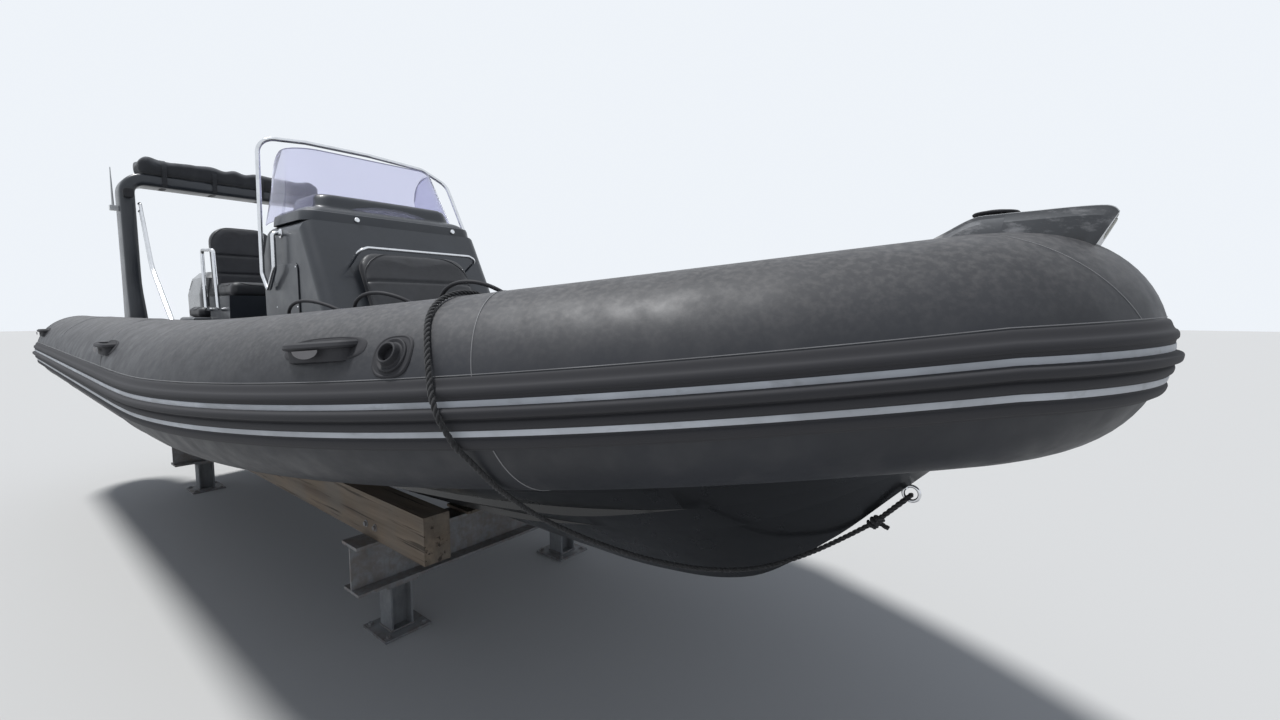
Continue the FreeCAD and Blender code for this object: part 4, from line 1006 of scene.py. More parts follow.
@dataclass
class Tubes:
    """The inflated collar: skins, glued seams, rubbing strake and stripes."""

    shop: Workshop
    sides: int = 72
    overlap: float = 0.0010
    swell: float = 0.0012
    strake_top: float = 13.5
    strake_foot: float = -24.5
    panel_seams: tuple[float, ...] = (1.75, 3.55, 5.93)
    cap_seam: float = 7.13
    seam_half_width: float = 0.0016
    # angle above the beam line in degrees, height off the skin
    strake: Table = (
        (-24.0, 0.001), (-23.4, 0.006), (-21.6, 0.008), (-20.9, 0.015), (-17.2, 0.016), (-16.3, 0.009),
        (-11.9, 0.009), (-11.3, 0.015), (-8.3, 0.015), (-7.4, 0.008), (-6.3, 0.009), (-5.9, 0.023),
        (-4.4, 0.025), (-2.6, 0.025), (-1.9, 0.022), (-1.4, 0.009), (3.6, 0.009), (4.4, 0.016),
        (7.6, 0.016), (8.8, 0.008), (12.8, 0.0055), (13.5, 0.001),
    )
    # share of the end's radius, distance out
    cap_rings: Table = ((0.94, 0.000), (0.9, 0.004), (0.55, 0.004), (0.12, 0.004))

    def build(self) -> None:
        """Make every piece of the collar."""
        self.skins()
        self.seams()
        self.bands()

    def skin_ring(self, s: float) -> Row:
        """Points round the tube, with the panels' overlaps and slight unevenness.

        Args:
            s: Length along the collar.

        Returns:
            The ring's points.
        """
        points = []
        for k in range(self.sides):
            angle = 360.0 * k / self.sides
            panel = sum(1 for seam in self.panel_seams if COLLAR.from_stern(s) > self.seam_at(seam, angle))
            swell = noise.noise(Vector((s * 1.3, angle * 0.02, 3.0))) * self.swell
            points.append(COLLAR.point(s, angle, swell + (self.overlap if panel % 2 else 0.0)))
        return points

    @staticmethod
    def seam_at(seam: float, angle: float) -> float:
        """Length of a leaning cross seam at an angle round the tube."""
        lean = 0.0044 if 3.0 < seam < 4.0 else 0.0006
        return seam - lean * (min(angle, 360.0 - angle) - 15.0)

    def skins(self) -> None:
        """Three skins: the two sides with their stern cones, and the bow."""
        spans = (
            ("tube_skin_starboard", "tube_starboard", 0.0, COLLAR.knee),
            ("tube_skin_bow", "tube_bow", COLLAR.knee, COLLAR.whole - COLLAR.knee),
            ("tube_skin_port", "tube_port", COLLAR.whole - COLLAR.knee, COLLAR.whole),
        )
        for name, node, start, end in spans:
            rows = [self.skin_ring(s) for s in COLLAR.stations(start, end)]
            draft = Draft().grid(rows, ends=False)
            for row, at in ((rows[0], start), (rows[-1], end)):
                if COLLAR.from_stern(at) < 0.01:
                    self.cone_cap(draft, row)
            self.shop.make(name, draft, TUBE_CLOTH, replaces=[node], sharp=60.0)

    def cone_cap(self, draft: Draft, row: Row) -> None:
        """Draw the dished moulded end over the small end of a stern cone.

        Args:
            draft: Draft of the skin.
            row: The skin's last ring.
        """
        centre = sum(row, Vector()) / len(row)
        rows = [row] + [[centre + (p - centre) * share + FORWARD * out for p in row]
                        for share, out in self.cap_rings]
        draft.grid(rows, ends=False)
        draft.add(rows[-1], [tuple(range(len(row)))])

    def seams(self) -> None:
        """Glue lines: cross seams, the edge above the strake, and the bow panel's outline."""
        edge = self.strake_top + 1.0
        lines = []
        for seam in self.panel_seams:
            for angles in (steps(self.strake_top, 176.0, 40), steps(self.strake_foot, -88.0, 20)):
                lines.append([(self.seam_at(seam, a), a) for a in angles])
        lines.append([(s, self.strake_top + 0.9) for s in COLLAR.stations(0.08, COLLAR.half)])
        lines.append([(self.cap_seam - 0.0016 * (a - 22.0), a) for a in steps(edge, 118.0, 30)])
        lines.append([(COLLAR.cone, a) for a in steps(edge, 330.0, 60)])
        draft = Draft()
        for side in Side:
            for line in lines:
                self.strip(draft, line, side)
        self.shop.make("seam_lines", draft, SEAM_EDGE)

    def strip(self, draft: Draft, line: Sequence[tuple[float, float]], side: Side) -> None:
        """Draw a thin raised line over the skin.

        Args:
            draft: Draft to draw in.
            line: Pairs of length and angle that it runs through.
            side: Side of the boat.
        """
        places = [(COLLAR.whole - s if side is Side.PORT else s, angle) for s, angle in line]
        along = [COLLAR.point(s, angle, 0.002) for s, angle in places]
        rows = []
        for i, (s, angle) in enumerate(places):
            out = (COLLAR.point(s, angle, 0.01) - COLLAR.point(s, angle)).normalized()
            across = (along[min(len(along) - 1, i + 1)] - along[max(0, i - 1)]).cross(out).normalized()
            middle = COLLAR.point(s, angle, 0.0012)
            rows.append([middle + across * self.seam_half_width * share + out * rise for share, rise in (
                (-1.0, -0.002), (-0.6, 0.0008), (0.6, 0.0008), (1.0, -0.002))])
        draft.grid(rows)

    def band_rows(self, table: Table, rounds: int, start: float) -> list[Row]:
        """Rows across a band glued round the collar.

        Args:
            table: Pairs of angle and height off the skin.
            rounds: How many times the band's corners are cut.
            start: Length of its end from the stern.

        Returns:
            The rows from stern to stern.
        """
        corners = rounded_corners([Vector((a, lift * 1000.0, 0.0)) for a, lift in table], rounds)
        rows = []
        for s in COLLAR.stations(start, COLLAR.whole - start):
            ease = smoothstep(0.0, 0.05, COLLAR.from_stern(s) - start + 0.012)
            rows.append([COLLAR.point(s, c.x, c.y / 1000.0 * ease + 0.0012) for c in corners])
        return rows

    def bands(self) -> None:
        """Ribbed rubber strake round the whole collar, and two pale inlays in its grooves."""
        bands = [("strake", "rub_strake", STRAKE, self.strake, 2, 0.066)]
        for name, node, low, high in (("stripe_top", "stripe_upper", -1.15, 2.2),
                                      ("stripe_bottom", "stripe_lower", -15.6, -12.4)):
            inlay = ((low, 0.0085), (low + 0.1, 0.0108), (high - 0.1, 0.0108), (high, 0.0085))
            bands.append((name, node, STRIPE, inlay, 1, 0.086))
        for name, node, finish, table, rounds, start in bands:
            draft = Draft().grid(self.band_rows(table, rounds, start))
            self.shop.make(name, draft, finish, replaces=[node], sharp=50.0)


@dataclass
class Hull:
    """Skin of the deep-V hull, with its spray rails and chines."""

    shop: Workshop
    # station, keel height, chine half breadth, chine height, top half breadth, top height
    table: Table = (
        (0.550, 0.500, 0.800, 0.850, 0.900, 1.079), (2.200, 0.500, 0.800, 0.852, 0.900, 1.079),
        (3.600, 0.500, 0.795, 0.862, 0.895, 1.079), (4.600, 0.501, 0.755, 0.890, 0.860, 1.079),
        (5.300, 0.506, 0.665, 0.935, 0.800, 1.085), (5.800, 0.528, 0.550, 0.985, 0.700, 1.110),
        (6.200, 0.618, 0.415, 1.040, 0.560, 1.140), (6.480, 0.830, 0.295, 1.095, 0.430, 1.215),
        (6.680, 1.030, 0.185, 1.145, 0.320, 1.260), (6.800, 1.150, 0.095, 1.180, 0.240, 1.290),
    )
    # share of the half breadth, station where the rail ends
    rails: Table = ((0.58, 5.80), (0.80, 6.20))
    rail_width: float = 0.034
    chine_flat: float = 0.040

    def build(self) -> None:
        """Make the hull skin."""
        draft = Draft().grid([self.section(x) for x in steps(self.table[0][0], self.table[-1][0], 190)])
        self.shop.make("hull_shell", draft, HULL_GLOSS, replaces=["hull"], bevel=0.004, sharp=22.0)

    def section(self, x: float) -> Row:
        """Outline across the hull, from the keel up and round.

        Args:
            x: Station along the boat.

        Returns:
            The outline's points.
        """
        keel, half, chine, top_half, top = catmull(self.table, x)
        starboard = [(0.012, keel)]
        for share, end in self.rails:
            size = max(self.rail_width * smoothstep(end, end - 0.5, x), 0.0004)
            z_in, z_out = (keel + (chine - keel) * part for part in (share - size / half, share))
            starboard += [(half * share - size, z_in), (half * share, z_in - size * 0.10),
                          (half * share + 0.0005, z_out)]
        flat = self.chine_flat * min(1.0, half / 0.5)
        belly = lerp(half + flat, top_half, 0.5)
        starboard += [(half, chine), (half + flat, chine + 0.001), (belly, lerp(chine, top, 0.55)),
                      (top_half, top)]
        row = [Vector((x, -y, z)) for y, z in starboard]
        return row + flipped(row[::-1])


@dataclass(frozen=True)
class Layout:
    """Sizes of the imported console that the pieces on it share."""

    console_aft: float = 3.2001
    console_front: float = 3.8001
    console_half: float = 0.535
    console_top: float = 2.040


LAYOUT = Layout()


@dataclass
class MooringRope:
    """Three-strand rope tied in the stem ring, slung under the forefoot and led over the tube."""

    shop: Workshop
    diameter: float = 0.015
    length: float = 2.734
    strands: int = 3
    lay: float = 0.050
    knot: Point = (6.604, 0.0, 0.912)
    hanging: Table = (
        (6.511, -0.020, 0.838), (6.405, -0.084, 0.772), (6.296, -0.165, 0.729), (6.190, -0.285, 0.738),
        (6.090, -0.425, 0.788), (6.005, -0.545, 0.850), (5.945, -0.665, 0.926), (5.928, -0.770, 1.002),
    )
    # length along the tube, angle above the beam line, lift off the skin
    over_tube: Table = (
        (5.902, -64.0, 0.0170), (5.905, -51.0, 0.0125), (5.904, -38.0, 0.0130), (5.892, -26.5, 0.0170),
        (5.882, -19.0, 0.0280), (5.872, -11.0, 0.0300), (5.867, -6.5, 0.0360), (5.860, -1.5, 0.0365),
        (5.847, 5.5, 0.0305), (5.832, 14.0, 0.0190), (5.815, 24.0, 0.0115), (5.796, 35.0, 0.0105),
        (5.772, 47.0, 0.0105), (5.756, 59.0, 0.0105), (5.750, 71.0, 0.0105), (5.751, 83.0, 0.0105),
        (5.753, 95.0, 0.0105), (5.757, 107.0, 0.0105), (5.760, 119.0, 0.0105), (5.763, 131.0, 0.0105),
        (5.766, 143.0, 0.0105), (5.769, 155.0, 0.0115), (5.771, 166.0, 0.0150),
    )
    landing: Table = (
        (5.646, -0.513, 1.330), (5.643, -0.504, 1.255), (5.6405, -0.5005, 1.190), (5.640, -0.500, 1.1344),
    )
    # distance from the knot towards the ring, distance from the middle plane
    loop_leg: Table = ((0.006, 0.0084), (0.050, 0.010), (0.092, 0.0145), (0.1394, 0.017))
    tail_end: Point = (6.640, 0.006, 0.897)
    ring_way: Point = (0.095, 0.0, 0.102)
    knot_wraps: float = 2.6
    knot_reach: float = 0.0105
    knot_ends: tuple[float, float] = (-0.018, 0.020)

    def build(self) -> None:
        """Make the run, the loop in the ring, the knot and its tail."""
        knot, tail_end = Vector(self.knot), Vector(self.tail_end)
        way = Vector(self.ring_way).normalized()
        run = [knot] + [Vector(p) for p in self.hanging]
        run += [COLLAR.point(*row) for row in self.over_tube] + [Vector(p) for p in self.landing]
        route = self.line_through(run)
        leg = [knot + way * along - TO_PORT * aside for along, aside in self.loop_leg]
        tail_run = [knot, knot.lerp(tail_end, 0.5) + Vector((0, 0.002, 0.002)), tail_end]
        rope, *rest = [
            self.shop.make(name, self.laid(line), ROPE_FIBRE, sharp=180.0) for name, line in (
                ("mooring_rope", route), ("rope_loop", self.line_through(leg + flipped(leg[::-1]))),
                ("rope_knot", self.knot_turns(knot, way)), ("rope_tail", self.line_through(tail_run)))]

    @staticmethod
    def line_through(points: Row) -> Row:
        """Points along the smooth curve that a row of points steers.

        Args:
            points: Control points of the route.

        Returns:
            Close points on its curve.
        """
        curve = bpy.data.curves.new("rope_route", "CURVE")
        curve.dimensions = "3D"
        curve.resolution_u = 24
        spline = curve.splines.new("NURBS")
        spline.points.add(len(points) - 1)
        for control, point in zip(spline.points, points):
            control.co = (*point, 1.0)
        spline.order_u = 3
        spline.use_endpoint_u = True
        holder = bpy.data.objects.new("rope_route", curve)
        mesh = bpy.data.meshes.new_from_object(holder)
        line = [vertex.co.copy() for vertex in mesh.vertices]
        bpy.data.objects.remove(holder)
        bpy.data.curves.remove(curve)
        bpy.data.meshes.remove(mesh)
        return line

    def knot_turns(self, knot: Vector, way: Vector) -> Row:
        """Turns of the knot, wound about the loop's legs.

        Args:
            knot: The knot's middle.
            way: Direction of the legs.

        Returns:
            Points of the winding.
        """
        side = way.cross(TO_PORT).normalized()
        across = way.cross(side)
        points = []
        for share in steps(0.0, 1.0, 61):
            turn = math.tau * self.knot_wraps * share
            reach = self.knot_reach + 0.0015 * math.sin(5.0 * share)
            points.append(knot + way * lerp(*self.knot_ends, share)
                          + (side * math.cos(turn) + across * math.sin(turn)) * reach)
        return points

    def laid(self, route: Row) -> Draft:
        """Twist the strands round a route.

        Args:
            route: Close points along the rope's middle.

        Returns:
            The strands.
        """
        radius = self.diameter / 2.0
        strand = 0.5 * radius
        total = [0.0]
        for a, b in zip(route, route[1:]):
            total.append(total[-1] + (b - a).length)
        count = max(12, int(total[-1] / (self.lay / 13.0)))
        middle, at = [], 0
        for k in range(count + 1):
            here = total[-1] * k / count
            while at < len(total) - 2 and total[at + 1] < here:
                at += 1
            share = (here - total[at]) / max(1e-9, total[at + 1] - total[at])
            middle.append(route[at].lerp(route[at + 1], min(1.0, max(0.0, share))))
        draft = Draft()
        ways = carried(middle, lambda way: way.orthogonal().normalized())
        for j in range(self.strands):
            path = []
            for k, (point, (normal, across)) in enumerate(zip(middle, ways)):
                turn = math.tau * (total[-1] * k / count / self.lay + j / self.strands)
                path.append(point + (normal * math.cos(turn) + across * math.sin(turn)) * (radius - strand))
            draft.sweep(path, strand * 1.04, sides=8)
        return draft


@dataclass
class TubeFittings:
    """Moulded handles, rod sockets and grab hoops glued to the tubes."""

    shop: Workshop
    handle_places: tuple[float, ...] = (1.820, 3.720, 6.640)
    handle_length: float = 0.250
    handle_reach: float = 0.056
    handle_angle: float = 34.0
    socket_place: float = 1.570
    socket_angle: float = 27.0
    hoop_spans: Table = ((2.470, 2.138), (2.066, 1.790), (1.674, 1.438))
    hoop_angle: float = 104.0
    hoop_radius: float = 0.006
    hoop_crown: float = 0.046
    # share of half the length, share of the reach
    handle_plan: Table = ((-0.97, 0.55), (-0.78, 1.0), (0.0, 1.06), (0.78, 1.0), (0.97, 0.55))
    # inset from the handle's outer line, height above its root
    handle_section: Table = (
        (0.0, -0.006), (0.003, 0.003), (0.010, 0.008), (0.0175, 0.006), (0.022, -0.003), (0.0225, -0.042),
        (0.018, -0.047), (0.014, -0.045), (0.0135, -0.014), (0.003, -0.011),
    )
    # share of a patch's size, share of its thickness
    patch_rings: Table = (
        (0.02, 0.6), (0.55, 0.6), (0.86, 0.6), (0.89, 1.0), (0.94, 1.0), (0.97, 0.6), (1.0, 0.1),
    )
    # distance along the axis, radius
    barrel: Table = (
        (-0.004, 0.047), (0.0055, 0.046), (0.0075, 0.044), (0.0075, 0.041), (0.0055, 0.038), (0.0045, 0.034),
        (0.008, 0.0305), (0.020, 0.0285), (0.0235, 0.0275), (0.0245, 0.0250), (0.0235, 0.0225),
        (0.018, 0.0215), (-0.030, 0.0205), (-0.030, 0.0),
    )
    hoop_foot: Table = (
        (0.0, 0.019), (0.005, 0.0185), (0.007, 0.014), (0.012, 0.0115), (0.0175, 0.008), (0.018, 0.0),
    )

    def build(self) -> None:
        """Make the fittings of both sides."""
        handles, patches, slot_lights, hoops = Draft(), Draft(), Draft(), Draft()
        for back in self.handle_places:
            self.handle(handles, patches, slot_lights, COLLAR.half - back)
        sockets = self.socket(COLLAR.half - self.socket_place)
        for start, end in self.hoop_spans:
            self.hoop(hoops, COLLAR.half - start, COLLAR.half - end)
        self.shop.make("grab_handles", handles.both_sides(), PLASTIC, replaces=["tube_handles"], bevel=0.0025)
        self.shop.make("handle_pads", patches.both_sides(), STRAKE)
        # Painted light: pale half-moons on the handles' lips, standing in for light seen through their slots.
        self.shop.make("painted_handle_slot_lights", slot_lights.both_sides(), SLOT_PAINTED_LIGHT)
        self.shop.make("rod_barrels", sockets.both_sides(), PLASTIC, bevel=0.0015)
        self.shop.make("shoulder_hoops", hoops.both_sides(), PLASTIC)

    def patch(self, draft: Draft, s: float, angle: float, length: float, height: float, proud: float) -> None:
        """Draw an oval rubber patch moulded to the tube's skin, with a raised rim.

        Args:
            draft: Draft to draw in.
            s: Its middle's length along the collar.
            angle: Its middle's angle above the beam line.
            length: Its length.
            height: Its height.
            proud: How far its rim stands off the skin.
        """
        radius = COLLAR.frame_at(s)[3]
        rows = []
        for share, lift in self.patch_rings:
            row = []
            for k in range(48):
                turn = math.tau * k / 48
                along = squarish(math.cos(turn), 0.75) * length / 2.0 * share
                around = squarish(math.sin(turn), 0.75) * height / 2.0 * share
                row.append(COLLAR.point(s + along, angle + math.degrees(around / radius),
                                        proud * lift + 0.001))
            rows.append(row)
        draft.grid(rows, ends=False)

    def root(self, s: float) -> tuple[Vector, Vector, Vector, Vector]:
        """Root of a handle: its point on the skin, and the ways outward, up and forward there."""
        _, side, up, _ = COLLAR.frame_at(s)
        return COLLAR.point(s, self.handle_angle + 3.0), side, up, up.cross(side).normalized()

    def handle(self, draft: Draft, patches: Draft, slot_lights: Draft, s: float) -> None:
        """Draw one moulded handle: a flat loop off the skin with its lip turned down.

        Args:
            draft: Draft of the loops.
            patches: Draft of the pads under them.
            slot_lights: Draft of the painted light: pale half-moons on their lips, where light shows through
                the slots.
            s: The handle's length along the collar.
        """
        half, reach = self.handle_length / 2.0, self.handle_reach
        plan = [Vector((share * half, out * reach, 0)) for share, out in self.handle_plan]
        line = rounded_corners([Vector((-half, 0.002, 0))] + plan + [Vector((half, 0.002, 0))], 3)
        rows = []
        for i, p in enumerate(line):
            way = way_at(line, i)
            inward = Vector((way.y, -way.x, 0.0))
            root, side, up, forward = self.root(s + p.x)
            depth = smoothstep(0.0, 0.30, p.y / reach)
            row = []
            for inset, drop in self.handle_section:
                shift = inward * inset
                height = drop if drop > -0.012 else lerp(-0.012, drop, depth)
                row.append(root + side * (p.y + shift.y) + forward * shift.x + up * height)
            rows.append(row)
        draft.grid(rows)
        self.patch(patches, s + 0.006, self.handle_angle - 0.5, self.handle_length + 0.050, 0.078, 0.0025)
        root, side, up, forward = self.root(s)
        # Painted light: a pale half-moon on the lip stands in for light seen through the handle's slot.
        slot = [root + forward * 0.050 * math.cos(t) + side * (1.06 * reach + 0.0006)
                - up * (0.014 + 0.022 * math.sin(t)) for t in steps(0.0, math.pi, 25)]
        slot_lights.slab(slot, side * 0.0008)

    def socket(self, s: float) -> Draft:
        """Rod socket: a ribbed round patch and a leaning barrel, open at the top.

        Args:
            s: Its length along the collar.

        Returns:
            Its draft.
        """
        draft = Draft()
        self.patch(draft, s, self.socket_angle, 0.118, 0.118, 0.004)
        return draft.lathe(COLLAR.point(s, self.socket_angle), COLLAR.outward(s, self.socket_angle),
                           self.barrel, 48)

    def hoop(self, draft: Draft, start: float, end: float) -> None:
        """Draw a bowed grab line sleeve from pad to pad on the shoulder of the tube.

        Args:
            draft: Draft to draw in.
            start: Length of its first pad along the collar.
            end: Length of its last pad.
        """
        a, b = (COLLAR.point(s, self.hoop_angle, 0.003 + self.hoop_radius) for s in (start, end))
        crown = COLLAR.point((start + end) / 2.0, self.hoop_angle - 8.0, self.hoop_crown)
        draft.sweep(arc_through(a, crown, b, 13), self.hoop_radius, sides=12)
        for s in (start, end):
            draft.lathe(COLLAR.point(s, self.hoop_angle, -0.002), COLLAR.outward(s, self.hoop_angle),
                        self.hoop_foot, 24)


@dataclass
class Console:
    """Console hood, wrap-round screen, its stainless hoop and the small fittings on them."""

    shop: Workshop
    # rise of the hood, inset of its sides, setback of its front
    hood_steps: Table = (
        (0.0, 0.012, 0.008), (0.052, 0.018, 0.016), (0.055, 0.030, 0.028), (0.061, 0.036, 0.032),
        (0.077, 0.055, 0.048), (0.086, 0.080, 0.066), (0.090, 0.104, 0.086), (0.096, 0.113, 0.093),
        (0.112, 0.118, 0.097), (0.150, 0.128, 0.106), (0.166, 0.138, 0.118), (0.174, 0.158, 0.142),
        (0.178, 0.230, 0.240),
    )
    screen_top: float = 2.490
    screen_half: float = 0.515
    screen_thick: float = 0.006
    screen_round: float = 0.150
    rail_radius: float = 0.0125
    rail_top: float = 2.550
    hood_lid: float = 0.090
    hood_corner: float = 0.078
    catches: tuple[float, ...] = (-0.240, 0.370)
    panel_place: tuple[float, float] = (0.36, 1.57)
    # half length, half height, corner
    panel_size: Point = (0.17, 0.24, 0.04)
    panel_thick: float = 0.006
    # distance forward and up from the panel's middle
    panel_screws: Table = (
        (-0.148, -0.218), (-0.148, 0.218), (0.148, -0.218), (0.148, 0.218), (-0.154, 0.0), (0.154, 0.0),
    )
    # distance along the axis, radius
    flange: Table = ((0.0, 0.027), (0.003, 0.027), (0.005, 0.024), (0.006, 0.016), (0.012, 0.0145),
                     (0.014, 0.0125))
    hoop_screw: Table = ((0.0, 0.004), (0.0012, 0.0038), (0.002, 0.002))
    panel_screw: Table = ((0.0, 0.006), (0.0015, 0.0055), (0.0025, 0.003))
    catch: Table = ((-0.004, 0.015), (0.003, 0.015), (0.006, 0.012), (0.007, 0.0))

    def build(self) -> None:
        """Make the hood, the screen, the hoop and the trim."""
        self.hood()
        self.screen()
        self.hoop()
        self.trim()

    def hood(self) -> None:
        """Hood moulding, its sides stepped in above a shadow line."""
        aft = LAYOUT.console_aft + self.hood_lid
        base = LAYOUT.console_top + 0.0003
        corners = rounded_corners([Vector(row) for row in self.hood_steps], 1)
        rows = [rounded_plan(aft + 0.1 * c.y, LAYOUT.console_front - c.z, LAYOUT.console_half - c.y,
                             self.hood_corner, base + c.x, 9) for c in corners]
        self.shop.make("hood", Draft().grid(rows), MOULDING, replaces=["console_hood"], sharp=40.0)

    def screen_line(self, share: float, inwards: float = 0.0) -> Row:
        """Line of the screen at a share of its height, from the starboard aft edge round the front.

        Args:
            share: Share of the height.
            inwards: How far the line stands in from the outer face.

        Returns:
            The line's points.
        """
        aft = lerp(LAYOUT.console_aft - 0.010, LAYOUT.console_aft - 0.020, share)
        front = lerp(LAYOUT.console_front - 0.050, LAYOUT.console_front - 0.300, share) - inwards
        half = lerp(self.screen_half, self.screen_half - 0.060, share) - inwards
        reach = lerp(0.200, 0.150, share)
        centre = Vector((front - reach, half - reach, 0))
        port = [Vector((x, half, 0)) for x in steps(aft, centre.x, 13)[:-1]]
        port += [centre + Vector((math.sin(t), math.cos(t), 0)) * reach
                 for t in steps(0.0, math.pi / 2.0, 13)]
        bow = 0.030 * (1.0 - share)
        port += [Vector((front + bow * (1.0 - (y / centre.y) ** 2), y, 0))
                 for y in steps(centre.y, 0.0, 9)[1:]]
        line = flipped(port) + port[-2::-1]
        low, high = LAYOUT.console_top + 0.001, self.screen_top
        for p in line:
            corner = max(0.0, 1.0 - (p.x - aft) / self.screen_round)
            top = high - self.screen_round * (1.0 - math.sqrt(max(0.0, 1.0 - corner ** 2)))
            p.z = lerp(low, top, share)
        return line

    def screen(self) -> None:
        """Tinted sheet bent round the helm, with its polished top edge."""
        rows = [self.screen_line(share) + self.screen_line(share, self.screen_thick)[::-1]
                for share in steps(0.07, 1.0, 12)]
        self.shop.make("screen", Draft().grid(rows), SCREEN_TINT, replaces=["windscreen"], sharp=40.0)
        middle = self.screen_line(1.0, self.screen_thick / 2.0)
        self.shop.make("screen_edge", Draft().sweep(middle, 0.0034, 8), SCREEN_EDGE)

    def hoop(self) -> None:
        """Stainless hoop over the screen, its folded clamp at the foot, flanges and screws."""
        half, face = LAYOUT.console_half + 0.028, LAYOUT.console_half + 0.0003
        leg, clamp = LAYOUT.console_aft + 0.060, LAYOUT.console_aft + 0.300
        clamp_z, port, top = LAYOUT.console_top - 0.055, LAYOUT.console_aft + 0.420, self.rail_top
        corners = [Vector(p) for p in (
            (clamp, -face, clamp_z), (clamp, -half - 0.012, clamp_z),
            (clamp - 0.005, -half - 0.012, clamp_z - 0.200), (leg + 0.090, -half, clamp_z - 0.318),
            (leg, -half, clamp_z - 0.215), (leg + 0.010, -half, top - 0.500),
            (leg + 0.040, -half, top - 0.005), (leg + 0.100, -0.59 * half, top + 0.005),
            (leg + 0.200, 0.0, top - 0.020), (leg + 0.130, 0.71 * half, top - 0.020),
            (leg + 0.180, half - 0.010, top - 0.110), (port, half + 0.012, clamp_z + 0.105),
            (port, half + 0.012, clamp_z), (port, face, clamp_z),
        )]
        foot, over = bent_path(corners[:6], 0.034, 9), bent_path(corners[5:], 0.09, 11)
        rail, screws = Draft().sweep(foot + over[1:], self.rail_radius, 20), Draft()
        for end, side in ((corners[0], Side.STARBOARD), (corners[-1], Side.PORT)):
            out = TO_PORT * side.value
            rail.lathe(end, out, self.flange)
            for k in range(3):
                turn = math.tau * k / 3.0
                spot = end + out * 0.003 + Vector((math.cos(turn), 0.0, math.sin(turn))) * 0.0205
                screws.lathe(spot, out, self.hoop_screw, 14)
        self.shop.make("screen_hoop", rail, STAINLESS, replaces=["screen_rail"], sharp=30.0)
        self.shop.make("hoop_screws", screws, STAINLESS)

    def trim(self) -> None:
        """Catches on the hood and the screwed panels in the console's sides."""
        catches, panels, screws = Draft(), Draft(), Draft()
        for y in self.catches:
            spot = Vector((LAYOUT.console_front - 0.0085, y, LAYOUT.console_top + 0.026))
            catches.lathe(spot, Vector((1.0, 0, 0.15)), self.catch, 28)
        self.shop.make("hood_catches", catches, STAINLESS)
        half_length, half_height, corner = self.panel_size
        along, height = self.panel_place
        plan = rounded_plan(-half_length, half_length, half_height, corner)
        for side in Side:
            out = TO_PORT * side.value
            middle = Vector((LAYOUT.console_aft + along, side.value * (LAYOUT.console_half + 0.001), height))
            panels.slab([middle + Vector((p.x, 0, p.y)) for p in plan], out * self.panel_thick)
            for dx, dz in self.panel_screws:
                screws.lathe(middle + out * self.panel_thick + Vector((dx, 0, dz)), out, self.panel_screw, 18)
        self.shop.make("console_panels", panels, MOULDING, bevel=0.003)
        self.shop.make("panel_screws", screws, STAINLESS)


